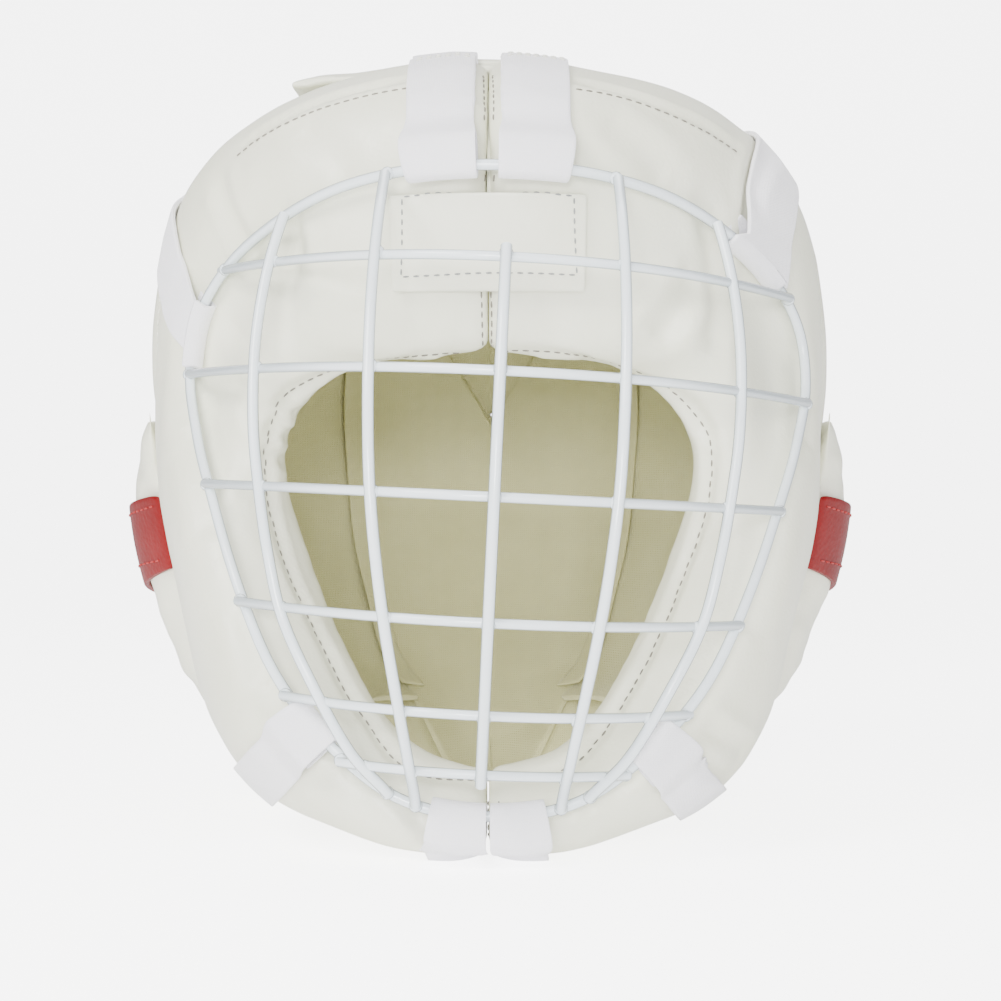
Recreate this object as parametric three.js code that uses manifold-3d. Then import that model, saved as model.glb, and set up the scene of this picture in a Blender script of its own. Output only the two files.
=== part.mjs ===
// Padded full-face boxing headgear with a welded wire face cage held by eight webbing straps.
// Millimetres, +Z up. The face looks towards -Y, and left and right are as seen from the front.
import * as THREE from 'three';
import { mergeVertices } from 'three/addons/utils/BufferGeometryUtils.js';
import Module from 'manifold-3d';

const wasm = await Module();
wasm.setup();

// Driving dimensions of the padded shell
const shellWidth = 236;
const shellHeight = 262;
const faceDepth = 130;
const backDepth = 133;
const openingHeight = 97;
const padWall = 24;
const backWall = 20;
const lipDepth = 14;
const backPanelWidth = 120;
const backLiningWidth = 152;
const napeShare = 0.64;
const napeLiningShare = 0.64;
const liningWall = 2;
const seamBandWidth = 9;
const seamBandWall = 1;
const sidePuff = 6;
const backPuff = 4;
const crownPuff = 5;
const clearance = 0.4;
const seamGap = 1;
const liningClearance = 1.3;
const liningFloor = 3;

// Ear pads, straps, patch and piping
const earPadThickness = 14;
const redStrapWidth = 24;
const redStrapWall = 2.2;
const redStrapOverlap = 25;
const redStrapHeight = 100;
const redStrapDrop = 18;
const redStrapRoom = 1.08;
const redStrapMargin = 0.16;
const webbingWidth = 21;
const lowWebbingWidth = 16.5;
const chinWebbingWidth = 17.5;
const webbingWall = 1.6;
const webbingClearance = 1.1;
const ringClearance = 1.1;
const cornerLift = 1.5;
const patchWidth = 58;
const patchHeight = 28;
const patchWall = 1.6;
const patchDrop = 1.6;
const pipingRadius = 1.8;
const crownFlapWall = 3;
const crownFlapLength = 46;

// Face cage
const cageWidth = 200;
const cageHeight = 193;
const cageFront = 165;
const cageCentreX = 2;
const cageCentreZ = 112;
const ringWire = 3.4;
const uprightWire = 3.4;
const crossWire = 3.0;
const ringRoll = 1.2;
const crossRoll = 2.75;
const sideFall = 103;
const endFall = 42;
const fallPower = 2.2;
const crossOverhang = 3;
const weldSink = 0.4;

const halfWidth = shellWidth / 2;
const halfHeight = shellHeight / 2;

// Front pad sections, one spoke every 15 degrees from the forehead seam round the side to the chin.
// Lengths out from the opening's centre are shares of the shell's half width and half height,
// and lengths forward are shares of the face depth.
const spokeStep = 15;
const spokeColumns = ['turn', 'rim', 'rimFwd', 'midFwd', 'side', 'sideFwd', 'seam', 'seamFwd'];
const spokes = [
  [90, 0.416, 0.75, 0.83, 1.19, 0.3, 1.2, 0.25],
  [75, 0.425, 0.745, 0.815, 1.198, 0.295, 1.205, 0.245],
  [60, 0.459, 0.72, 0.77, 1.25, 0.27, 1.257, 0.22],
  [45, 0.525, 0.66, 0.69, 1.243, 0.235, 1.25, 0.18],
  [30, 0.564, 0.585, 0.61, 1.12, 0.18, 1.127, 0.135],
  [15, 0.545, 0.54, 0.61, 0.985, 0.14, 0.99, 0.095],
  [0, 0.494, 0.53, 0.64, 0.912, 0.1, 0.917, 0.055],
  [-15, 0.459, 0.575, 0.7, 0.868, 0.1, 0.865, 0.035],
  [-30, 0.455, 0.645, 0.755, 0.897, 0.18, 0.86, 0.04],
  [-45, 0.475, 0.705, 0.79, 0.879, 0.345, 0.83, 0.15],
  [-60, 0.506, 0.75, 0.82, 0.8, 0.56, 0.77, 0.34],
  [-75, 0.527, 0.785, 0.845, 0.76, 0.715, 0.755, 0.49],
  [-90, 0.504, 0.79, 0.855, 0.76, 0.755, 0.755, 0.53],
].map((row) => Object.fromEntries(row.map((value, index) => [spokeColumns[index], value])));
const padStations = 24;
const sideRows = 15;
const crownRows = 4;
const sideTurnHigh = 60;
const sideTurnLow = sideTurnHigh - (sideRows * 180) / padStations;

// Ring of the cage, up and out from its centre, as shares of half its height and width
const ringRows = [
  { up: 1, out: 0 },
  { up: 0.995, out: 0.17 },
  { up: 0.975, out: 0.34 },
  { up: 0.933, out: 0.52 },
  { up: 0.855, out: 0.693 },
  { up: 0.743, out: 0.855 },
  { up: 0.58, out: 0.972 },
  { up: 0.376, out: 1 },
  { up: 0.175, out: 0.957 },
  { up: 0, out: 0.898 },
  { up: -0.297, out: 0.787 },
  { up: -0.57, out: 0.66 },
  { up: -0.77, out: 0.5 },
  { up: -0.92, out: 0.324 },
  { up: -0.985, out: 0.166 },
  { up: -1, out: 0 },
];

// Uprights, outer and inner pair, out from the middle at each height, in the same shares
const uprightRows = [
  { up: 1.02, outer: 0.6, inner: 0.345 },
  { up: 0.9, outer: 0.655, inner: 0.352 },
  { up: 0.69, outer: 0.705, inner: 0.362 },
  { up: 0.45, outer: 0.73, inner: 0.365 },
  { up: 0.2, outer: 0.725, inner: 0.36 },
  { up: 0, outer: 0.7, inner: 0.35 },
  { up: -0.2, outer: 0.665, inner: 0.33 },
  { up: -0.4, outer: 0.615, inner: 0.303 },
  { up: -0.6, outer: 0.52, inner: 0.27 },
  { up: -0.8, outer: 0.41, inner: 0.237 },
  { up: -0.93, outer: 0.3, inner: 0.218 },
  { up: -1.02, outer: 0.25, inner: 0.212 },
];
const crossRows = [0.69, 0.345, -0.02, -0.385, -0.665, -0.855];

// Webbing straps: where each crosses the ring, how far it slides sideways on the way out,
// and where its outer end lies, counted in section points past the rim
const webbingRows = [
  { name: 'top_strap_right', turn: 90, aside: -13.7, drift: -0.6, end: 10.35, width: webbingWidth, runs: 2 },
  { name: 'top_strap_left', turn: 90, aside: 13.7, drift: 0.6, end: 10.35, width: webbingWidth, runs: 2 },
  { name: 'upper_strap_right', turn: 43.8, aside: 0, drift: 26, end: 10, width: webbingWidth, runs: 4 },
  { name: 'upper_strap_left', turn: 148, aside: 0, drift: -30, end: 10, width: webbingWidth, runs: 4 },
  { name: 'lower_strap_right', turn: -48, aside: 0, drift: 0, end: 8.7, width: lowWebbingWidth, runs: 2 },
  { name: 'lower_strap_left', turn: -136.5, aside: 0, drift: 0, end: 8.7, width: lowWebbingWidth, runs: 2 },
  { name: 'chin_strap_right', turn: -90, aside: 9.3, drift: 0, end: 9.9, width: chinWebbingWidth, runs: 2 },
  { name: 'chin_strap_left', turn: -90, aside: -9.3, drift: 0, end: 9.9, width: chinWebbingWidth, runs: 2 },
];

const degrees = THREE.MathUtils.degToRad;
const lerp = THREE.MathUtils.lerp;
const clamp = THREE.MathUtils.clamp;
const smooth = THREE.MathUtils.smoothstep;
const group = new THREE.Group();

function material(colour, roughness, metalness = 0) {
  return new THREE.MeshStandardMaterial({ color: colour, roughness, metalness });
}
const ivoryLeather = material(0xf3f3ea, 0.42);
const khakiLining = material(0xbeb991, 0.8);
const whiteWire = material(0xebf2f6, 0.3, 0.2);
const whiteWebbing = material(0xf0eef7, 0.85);
const redLeather = material(0xc81e24, 0.35);

function addMesh(name, geometry, look) {
  geometry.computeVertexNormals();
  const mesh = new THREE.Mesh(geometry, look);
  mesh.name = name;
  group.add(mesh);
  return mesh;
}

// Closed solid from a row of closed loops of points, with both ends filled: by triangles in the
// plane of two named axes, or rung by rung between the two halves of a long thin loop
function loftSolid(loops, capAxes = null) {
  const count = loops[0].length;
  const points = [];
  const faces = [];
  for (const loop of loops) points.push(...loop.map((point) => [point.x, point.y, point.z]));
  for (let row = 0; row < loops.length - 1; row += 1) {
    for (let step = 0; step < count; step += 1) {
      const a = row * count + step;
      const b = row * count + ((step + 1) % count);
      faces.push([a, b, a + count], [b, b + count, a + count]);
    }
  }
  const last = (loops.length - 1) * count;
  for (const [base, loop, front] of [[0, loops[0], true], [last, loops[loops.length - 1], false]]) {
    const triangles = capAxes ? flatCap(loop, capAxes) : rungCap(count);
    for (const [a, b, c] of triangles) {
      faces.push(front ? [base + c, base + b, base + a] : [base + a, base + b, base + c]);
    }
  }
  return closedGeometry(points, faces);
}

// Both caps list triangles that run the same way round as their loop
function flatCap(loop, [right, up]) {
  const outline = loop.map((point) => new THREE.Vector2(point[right], point[up]));
  const triangles = THREE.ShapeUtils.triangulateShape(outline, []);
  return triangles.map(([a, b, c]) => {
    const forward = (b - a) * (c - b) * (a - c) < 0;
    return forward ? [a, b, c] : [a, c, b];
  });
}
function rungCap(count) {
  const triangles = [];
  for (let step = 0; step < count / 2 - 1; step += 1) {
    const far = count - 1 - step;
    triangles.push([step, step + 1, far], [step + 1, far - 1, far]);
  }
  return triangles;
}

// Indexed geometry, turned inside out if its signed volume is negative
function closedGeometry(points, faces) {
  let volume = 0;
  for (const [a, b, c] of faces) {
    const [p, q, r] = [points[a], points[b], points[c]];
    volume += p[0] * (q[1] * r[2] - q[2] * r[1]) + p[1] * (q[2] * r[0] - q[0] * r[2])
      + p[2] * (q[0] * r[1] - q[1] * r[0]);
  }
  const ordered = volume < 0 ? faces.map(([a, b, c]) => [a, c, b]) : faces;
  const geometry = new THREE.BufferGeometry();
  geometry.setAttribute('position', new THREE.Float32BufferAttribute(points.flat(), 3));
  geometry.setIndex(ordered.flat());
  return geometry;
}

// Padded sheet: both faces lifted from a surface place(u, v), joined along their four edges
function sheetSolid(place, across, along, outerLift, innerLift, floor = -Infinity, limit = null) {
  const points = [];
  const faces = [];
  const size = (across + 1) * (along + 1);
  for (const lift of [outerLift, innerLift]) {
    for (let i = 0; i <= across; i += 1) {
      for (let j = 0; j <= along; j += 1) {
        const spot = place(i / across, j / along);
        const point = spot.point.clone().addScaledVector(spot.away, lift(i / across, j / along, spot));
        points.push([limit ? limit(point.x) : point.x, point.y, Math.max(point.z, floor)]);
      }
    }
  }
  const at = (i, j, side) => side * size + i * (along + 1) + j;
  for (let i = 0; i < across; i += 1) {
    for (let j = 0; j < along; j += 1) {
      faces.push([at(i, j, 0), at(i + 1, j, 0), at(i, j + 1, 0)]);
      faces.push([at(i + 1, j, 0), at(i + 1, j + 1, 0), at(i, j + 1, 0)]);
      faces.push([at(i, j, 1), at(i, j + 1, 1), at(i + 1, j, 1)]);
      faces.push([at(i + 1, j, 1), at(i, j + 1, 1), at(i + 1, j + 1, 1)]);
    }
  }
  const border = [];
  for (let i = 0; i < across; i += 1) border.push([i, 0]);
  for (let j = 0; j < along; j += 1) border.push([across, j]);
  for (let i = across; i > 0; i -= 1) border.push([i, along]);
  for (let j = along; j > 0; j -= 1) border.push([0, j]);
  border.forEach(([i, j], index) => {
    const [k, l] = border[(index + 1) % border.length];
    faces.push([at(i, j, 0), at(i, j, 1), at(k, l, 0)]);
    faces.push([at(k, l, 0), at(i, j, 1), at(k, l, 1)]);
  });
  return closedGeometry(points, faces);
}

function toManifold(geometry) {
  const bare = geometry.clone();
  bare.deleteAttribute('normal');
  bare.deleteAttribute('uv');
  const merged = mergeVertices(bare, 1e-4);
  return new wasm.Manifold(new wasm.Mesh({
    numProp: 3,
    vertProperties: new Float32Array(merged.attributes.position.array),
    triVerts: new Uint32Array(merged.index.array),
  }));
}

function fromManifold(solid) {
  const mesh = solid.getMesh();
  const geometry = new THREE.BufferGeometry();
  geometry.setAttribute('position', new THREE.Float32BufferAttribute(mesh.vertProperties, 3));
  geometry.setIndex(Array.from(mesh.triVerts));
  return geometry;
}

// Value of a spoke column at any turn, by a smooth curve through the table's rows
function spokeValue(column, turn) {
  const last = spokes.length - 1;
  const place = clamp((spokes[0].turn - turn) / spokeStep, 0, last);
  const row = Math.min(Math.floor(place), last - 1);
  const part = place - row;
  const value = (index) => spokes[index < 0 ? -index : index > last ? 2 * last - index : index][column];
  const [a, b, c, d] = [value(row - 1), value(row), value(row + 1), value(row + 2)];
  return b + 0.5 * part * (c - a + part * (2 * a - 5 * b + 4 * c - d + part * (3 * (b - c) + d - a)));
}

// Folds any turn round the face to the right half, with the side that it lies on
function foldTurn(turn) {
  const whole = ((turn + 90) % 360 + 360) % 360 - 90;
  return whole > 90 ? { turn: 180 - whole, hand: -1 } : { turn: whole, hand: 1 };
}

function spokePoint(turn, share, y) {
  const angle = degrees(turn);
  return new THREE.Vector3(
    halfWidth * share * Math.cos(angle),
    y,
    openingHeight + halfHeight * share * Math.sin(angle),
  );
}

// Cage surface: a dome that falls back towards its sides and its ends
function cagePoint(out, up, level, roll) {
  const aside = sideFall * Math.abs((2 * out) / cageWidth) ** fallPower;
  const fall = aside + endFall * Math.abs((2 * up) / cageHeight) ** fallPower;
  const angle = degrees(roll);
  return new THREE.Vector3(
    cageCentreX + out * Math.cos(angle) + up * Math.sin(angle),
    fall - cageFront - level,
    cageCentreZ - out * Math.sin(angle) + up * Math.cos(angle),
  );
}

const ringOutline = [
  ...ringRows.map((row) => [row.out, row.up]),
  ...ringRows.slice(1, -1).reverse().map((row) => [-row.out, row.up]),
];
const ringCurve = new THREE.CatmullRomCurve3(
  ringOutline.map(([out, up]) => cagePoint((out * cageWidth) / 2, (up * cageHeight) / 2, 0, ringRoll)),
  true,
);

// Where the ring passes a spoke, on either side of the face
const ringSamples = ringCurve.getPoints(240).map((point) => ({
  turn: THREE.MathUtils.radToDeg(Math.atan2((point.z - openingHeight) / halfHeight, point.x / halfWidth)),
  share: Math.hypot((point.z - openingHeight) / halfHeight, point.x / halfWidth),
  y: point.y,
}));
function ringAt(turn) {
  let below = null;
  let above = null;
  for (const sample of ringSamples) {
    const apart = ((sample.turn - turn + 540) % 360) - 180;
    if (apart <= 0 && (!below || apart > below.apart)) below = { apart, ...sample };
    if (apart >= 0 && (!above || apart < above.apart)) above = { apart, ...sample };
  }
  const span = above.apart - below.apart;
  const part = span > 0 ? -below.apart / span : 0;
  return { share: lerp(below.share, above.share, part), y: lerp(below.y, above.y, part) };
}

function ringPoint(fullTurn) {
  const { share, y } = ringAt(fullTurn);
  return spokePoint(fullTurn, share, y);
}

const ringSeat = ringWire / 2 + ringClearance + webbingWall + webbingClearance;
const padFloor = webbingWall + clearance;
const shoulderTurns = [22, 45, 68];
const shoulderPower = 2 / 2.3;

// Outer side of a front pad section from the lip inside the opening to the outer seam
function frontSection(fullTurn) {
  const { turn, hand } = foldTurn(fullTurn);
  const value = (column) => spokeValue(column, turn);
  const ring = ringAt(fullTurn);
  const forward = (share) => -share * faceDepth;
  const rim = value('rim');
  const rimY = forward(value('rimFwd'));
  const midY = forward(value('midFwd'));
  const sideY = forward(value('sideFwd'));
  const reachOut = Math.hypot(halfWidth * Math.cos(degrees(turn)), halfHeight * Math.sin(degrees(turn)));
  const slope = new THREE.Vector2(
    (lerp(ring.share, value('side'), 0.43) - lerp(rim, ring.share, 0.5)) * reachOut,
    lerp(sideY, ring.y, 0.94) - midY,
  ).normalize();
  const rise = ringAt(fullTurn + 2).y - ringAt(fullTurn - 2).y;
  const steep = rise / (degrees(4) * reachOut * ring.share);
  const corner = cornerLift * smooth(turn, 10, 25) * (1 - smooth(turn, 50, 62));
  const seat = ringSeat * Math.sqrt(1 + (steep * slope.x) ** 2) + corner;
  const ridge = ring.share - (seat * slope.y) / reachOut;
  const ridgeY = ring.y + seat * slope.x;
  const rimRound = 3 / halfWidth;
  const list = [
    [rim + rimRound, rimY + lipDepth],
    [rim, rimY + 4],
    [rim + 2 * rimRound, rimY - 1],
    [lerp(rim, ridge, 0.5), midY],
    [lerp(rim, ridge, 0.83), lerp(midY, ridgeY, 0.8)],
    [ridge, ridgeY],
  ];
  for (const step of shoulderTurns) {
    const angle = degrees(step);
    list.push([
      lerp(ridge, value('side'), Math.sin(angle) ** shoulderPower),
      lerp(sideY, ridgeY, Math.cos(angle) ** shoulderPower),
    ]);
  }
  list.push([value('side'), sideY], [value('seam'), forward(value('seamFwd'))]);
  return list.map(([share, y]) => {
    const point = spokePoint(turn, share, y);
    point.z = Math.max(point.z, padFloor);
    point.x *= hand;
    return point;
  });
}

// Inner side of the same section, hollowed round the head, from the seam back to the lip
const innerPower = 1.2;
function innerSection(fullTurn) {
  const { turn, hand } = foldTurn(fullTurn);
  const outer = frontSection(fullTurn);
  const seam = outer[outer.length - 1];
  const lip = outer[0];
  const away = new THREE.Vector3(Math.cos(degrees(turn)) * hand, 0, Math.sin(degrees(turn)));
  const start = seam.clone().addScaledVector(away, -padWall);
  const end = lip.clone().addScaledVector(away, 2);
  const list = [];
  for (let step = 0; step <= 4; step += 1) {
    const angle = degrees(90 - step * 22.5);
    const out = Math.sin(angle) ** innerPower;
    const fwd = Math.cos(angle) ** innerPower;
    list.push(new THREE.Vector3(
      lerp(end.x, start.x, out),
      lerp(start.y, end.y, fwd),
      lerp(end.z, start.z, out),
    ));
  }
  return list;
}

function frontPad(hand) {
  const loops = [];
  for (let step = 0; step <= padStations; step += 1) {
    const turn = 90 - (180 * step) / padStations;
    const fullTurn = hand > 0 ? turn : 180 - turn;
    const loop = [...frontSection(fullTurn), ...innerSection(fullTurn)];
    const ends = step === 0 || step === padStations;
    loops.push(loop.map((point) => {
      const out = ends ? clearance / 2 : Math.max(point.x * hand, clearance / 2);
      return new THREE.Vector3(out * hand, point.y, point.z);
    }));
  }
  return loftSolid(loops, ['y', 'z']);
}

// Rear shell: every turn runs from the seam round to the middle of the back
const shellPower = 2 / 2.15;
const poleLow = -2;
const poleHigh = 172;
const napeHeight = 165;
function poleHeight(turn) {
  return lerp(poleLow, poleHigh, smooth(turn, sideTurnLow - 24, 90 + 24));
}
function backLine(z) {
  const share = Math.abs((z - 140) / napeHeight);
  return backDepth * (1 - share ** 2.4) ** (1 / 2.4);
}
function shellPoint(fullTurn, reach) {
  const { turn, hand } = foldTurn(fullTurn);
  const seam = spokePoint(turn, spokeValue('seam', turn), -faceDepth * spokeValue('seamFwd', turn));
  seam.z = Math.max(seam.z, padFloor);
  const angle = (Math.abs(reach) * Math.PI) / 2;
  const out = Math.max(Math.cos(angle), 0) ** shellPower;
  const back = Math.sin(angle) ** shellPower;
  const pole = poleHeight(turn);
  return new THREE.Vector3(
    seam.x * out * hand,
    lerp(seam.y, backLine(pole), back),
    lerp(pole, seam.z, out),
  );
}

// The same with the direction away from the head, which is square to the seam along the seam
function shellSpot(fullTurn, reach) {
  const point = shellPoint(fullTurn, reach);
  const turnStep = 0.5;
  const reachStep = 0.004;
  const low = Math.max(reach - reachStep, 0.001);
  const alongTurn = shellPoint(fullTurn + turnStep, reach).sub(shellPoint(fullTurn - turnStep, reach));
  const alongReach = shellPoint(fullTurn, Math.min(reach + reachStep, 0.999)).sub(shellPoint(fullTurn, low));
  const normal = alongTurn.cross(alongReach).normalize();
  const { turn, hand } = foldTurn(fullTurn);
  const radial = new THREE.Vector3(Math.cos(degrees(turn)) * hand, 0, Math.sin(degrees(turn)));
  if (normal.dot(point.clone().sub(new THREE.Vector3(0, 20, 125))) < 0) normal.negate();
  const away = radial.lerp(normal, smooth(reach, 0, 0.3)).normalize();
  return { point, away, turn: fullTurn, reach };
}

// Reach of a place this far behind the seam, and of a place this far from the middle
function reachBehind(turn, gap) {
  const { turn: folded } = foldTurn(turn);
  const span = backLine(poleHeight(folded)) + faceDepth * spokeValue('seamFwd', folded);
  return Math.asin((gap / span) ** (1 / shellPower)) / (Math.PI / 2);
}
function seamAside(turn) {
  const { turn: folded } = foldTurn(turn);
  return halfWidth * spokeValue('seam', folded) * Math.cos(degrees(folded));
}
function reachAside(turn, distance) {
  return Math.acos(clamp(distance / seamAside(turn), 0, 1) ** (1 / shellPower)) / (Math.PI / 2);
}

// Half widths of the back panel and of its lining, which both narrow towards the nape
const panelHalf = (turn) => Math.min(backPanelWidth / 2, napeShare * seamAside(turn));
const liningHalf = (turn) => Math.min(backLiningWidth / 2, napeLiningShare * seamAside(turn));

const pillow = (u, v) => (1 - (2 * u - 1) ** 4) * (1 - (2 * v - 1) ** 4);
const handTurn = (turn, hand) => (hand > 0 ? turn : 180 - turn);
const turnGap = 0.35;

function sidePlace(hand, half) {
  return (u, v) => {
    const turn = lerp(sideTurnLow, sideTurnHigh - turnGap, v);
    const reach = lerp(reachBehind(turn, clearance), reachAside(turn, half(turn) + seamGap / 2), u);
    return shellSpot(handTurn(turn, hand), reach);
  };
}
function rearPlace(u, v, half) {
  const turn = lerp(sideTurnLow, sideTurnHigh - turnGap, v);
  const offset = lerp(-1, 1, u) * (half(turn) - seamGap / 2);
  const reach = Math.min(reachAside(turn, Math.abs(offset)), 0.999);
  const spot = shellSpot(handTurn(turn, offset < 0 ? -1 : 1), reach);
  if (Math.abs(offset) < 1e-6) spot.away.x = 0;
  if (v === 0) {
    spot.point.z = 0;
    spot.away.z = 0;
  }
  spot.away.normalize();
  return spot;
}
const pipingSeat = 2 * (pipingRadius + clearance);
const crownReach = 0.985;
const crownLiningReach = 0.96;
const crownTuck = 4;
function crownPlace(hand) {
  return (u, v) => {
    const turn = lerp(sideTurnHigh + turnGap + crownTuck * smooth(u, 0.7, 1), 90, v);
    const reach = lerp(reachBehind(turn, pipingSeat), crownReach, u);
    const spot = shellSpot(handTurn(turn, hand), reach);
    if (v === 1) {
      spot.point.x = (clearance / 2) * hand;
      spot.away.x = 0;
      spot.away.normalize();
    }
    return spot;
  };
}

const liningSkin = padWall + liningClearance;
for (const [side, hand] of [['right', 1], ['left', -1]]) {
  addMesh(`front_pad_${side}`, frontPad(hand), ivoryLeather);
  const flank = sidePlace(hand, panelHalf);
  const liner = sidePlace(hand, liningHalf);
  const crown = crownPlace(hand);
  addMesh(
    `side_panel_${side}`,
    sheetSolid(flank, 7, sideRows, (u, v) => sidePuff * pillow(u, v), () => -padWall, 0),
    ivoryLeather,
  );
  addMesh(
    `side_lining_${side}`,
    sheetSolid(liner, 4, sideRows, () => -liningSkin, () => -liningSkin - liningWall, liningFloor),
    khakiLining,
  );
  addMesh(
    `crown_panel_${side}`,
    sheetSolid(
      crown,
      9,
      crownRows,
      (u, v) => crownPuff * pillow(u, v),
      () => -backWall,
      0,
      (x) => Math.max(x * hand, clearance / 2) * hand,
    ),
    ivoryLeather,
  );
}

const backPlace = (u, v) => rearPlace(u, v, panelHalf);
addMesh(
  'back_panel',
  sheetSolid(backPlace, 8, sideRows, (u, v) => backPuff * pillow(u, v), () => -padWall, 0),
  ivoryLeather,
);
const backLiningPlace = (u, v) => rearPlace(u, v, liningHalf);
addMesh(
  'back_lining',
  sheetSolid(backLiningPlace, 8, sideRows, () => -liningSkin, () => -liningSkin - liningWall, liningFloor),
  khakiLining,
);

// One lining under both crown panels, stopping short of the seams round it
function crownLiningPlace(u, v) {
  const turn = lerp(sideTurnHigh + turnGap, 180 - sideTurnHigh - turnGap, v);
  return shellSpot(turn, lerp(reachBehind(turn, pipingSeat), crownLiningReach, u));
}
const crownSkin = backWall + liningClearance;
addMesh(
  'crown_lining',
  sheetSolid(crownLiningPlace, 7, 8, () => -crownSkin, () => -crownSkin - liningWall),
  khakiLining,
);

// Stitched bands over the two lining seams
const bandStep = 180 / padStations;
for (const [side, hand] of [['right', 1], ['left', -1]]) {
  const band = (u, v) => {
    const turn = lerp(sideTurnLow + bandStep, sideTurnHigh - bandStep, v);
    const offset = liningHalf(turn) + lerp(-0.5, 0.5, u) * seamBandWidth;
    return shellSpot(handTurn(turn, hand), reachAside(turn, offset));
  };
  const lift = -liningSkin - liningWall - liningClearance - clearance;
  addMesh(
    `lining_band_${side}`,
    sheetSolid(band, 1, sideRows - 2, () => lift, () => lift - seamBandWall),
    khakiLining,
  );
}

// How far the sewn panels and the ear pad stand proud of the shell at a place
function panelLift(fullTurn, reach) {
  const { turn } = foldTurn(fullTurn);
  if (turn > sideTurnHigh) {
    const start = reachBehind(turn, pipingSeat);
    const u = clamp((reach - start) / (crownReach - start), 0, 1);
    return crownPuff * pillow(u, (turn - sideTurnHigh) / (90 - sideTurnHigh));
  }
  const edge = reachAside(turn, panelHalf(turn));
  const v = clamp((turn - sideTurnLow) / (sideTurnHigh - sideTurnLow), 0, 1);
  if (reach < edge) return sidePuff * pillow(clamp(reach / edge, 0, 1), v);
  const across = seamAside(turn) * Math.cos((reach * Math.PI) / 2) ** shellPower;
  return backPuff * pillow(0.5 + (0.5 * across) / panelHalf(turn), v);
}

const earPad = { turnLow: -36, turnHigh: 19, reachLow: 0.035, reachHigh: 0.36 };
function earLift(fullTurn, reach, margin = 0) {
  const { turn } = foldTurn(fullTurn);
  const u = (reach - earPad.reachLow) / (earPad.reachHigh - earPad.reachLow);
  const v = (turn - earPad.turnLow) / (earPad.turnHigh - earPad.turnLow);
  if (u < -margin || u > 1 + margin || v < 0 || v > 1) return 0;
  return earPadThickness * Math.max(pillow(clamp(u, 0, 1), v), 0.12);
}

// Turn at which the shell passes a height, for a given reach
function turnAtHeight(reach, height) {
  let low = sideTurnLow;
  let high = 90;
  for (let step = 0; step < 24; step += 1) {
    const middle = (low + high) / 2;
    if (shellPoint(middle, reach).z < height) low = middle;
    else high = middle;
  }
  return (low + high) / 2;
}

const strapOverlapReach = 1 - reachAside(0, redStrapOverlap);
for (const [side, hand] of [['right', 1], ['left', -1]]) {
  const pad = (u, v) => shellSpot(
    handTurn(lerp(earPad.turnLow, earPad.turnHigh, v), hand),
    lerp(earPad.reachLow, earPad.reachHigh, u),
  );
  addMesh(
    `ear_pad_${side}`,
    sheetSolid(
      pad,
      8,
      8,
      (u, v, spot) => panelLift(spot.turn, spot.reach) + 2 * clearance + earLift(spot.turn, spot.reach),
      (u, v, spot) => panelLift(spot.turn, spot.reach) + 2 * clearance,
    ),
    ivoryLeather,
  );
  const strap = (u, v) => {
    const travel = lerp(0.02, 1 + strapOverlapReach, u);
    const reach = Math.min(travel, 2 - travel, 0.998);
    const height = redStrapHeight - redStrapDrop * Math.min(travel, 1) ** 0.6 + (v - 0.5) * redStrapWidth;
    const turn = turnAtHeight(reach, height);
    return shellSpot(handTurn(turn, travel > 1 ? -hand : hand), reach);
  };
  const over = (u) => {
    const travel = lerp(0.02, 1 + strapOverlapReach, u);
    const near = smooth(travel, 1 - 2 * strapOverlapReach, 1 - strapOverlapReach);
    return hand > 0 ? near * (redStrapWall + 2 * clearance) : 0;
  };
  const strapLift = (u, v, spot) => {
    const bridge = 0.8 * sidePuff * smooth(spot.reach, 0.02, 0.08);
    const proud = Math.max(panelLift(spot.turn, spot.reach), bridge);
    const ear = earLift(spot.turn, spot.reach, redStrapMargin);
    return proud + redStrapRoom * ear + 3 * clearance + over(u);
  };
  addMesh(
    `red_strap_${side}`,
    sheetSolid(strap, 26, 2, (u, v, spot) => strapLift(u, v, spot) + redStrapWall, strapLift),
    redLeather,
  );
}

// Padded closing flap that lies over the crown behind the piping and curls up at its left end
const crownFlap = { turnLow: 82, turnHigh: 116, gap: 1.5, curl: 4.5 };
function flapReach(turn, share) {
  return reachBehind(turn, pipingSeat + crownFlap.gap + share * crownFlapLength);
}
function flapShare(fullTurn, reach) {
  const v = (fullTurn - crownFlap.turnLow) / (crownFlap.turnHigh - crownFlap.turnLow);
  const start = flapReach(fullTurn, 0);
  const u = (reach - start) / (flapReach(fullTurn, 1) - start);
  return { u, v };
}
const flapRise = (v) => crownFlap.curl * smooth(v, 0.68, 1);
const flapBase = (spot, v) => panelLift(spot.turn, spot.reach) + 2 * clearance + flapRise(v);
addMesh(
  'crown_flap',
  sheetSolid(
    (u, v) => {
      const turn = lerp(crownFlap.turnLow, crownFlap.turnHigh, v);
      return shellSpot(turn, flapReach(turn, u));
    },
    5,
    8,
    (u, v, spot) => flapBase(spot, v) + crownFlapWall * (1 + pillow(u, v)),
    (u, v, spot) => flapBase(spot, v),
  ),
  ivoryLeather,
);

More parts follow.
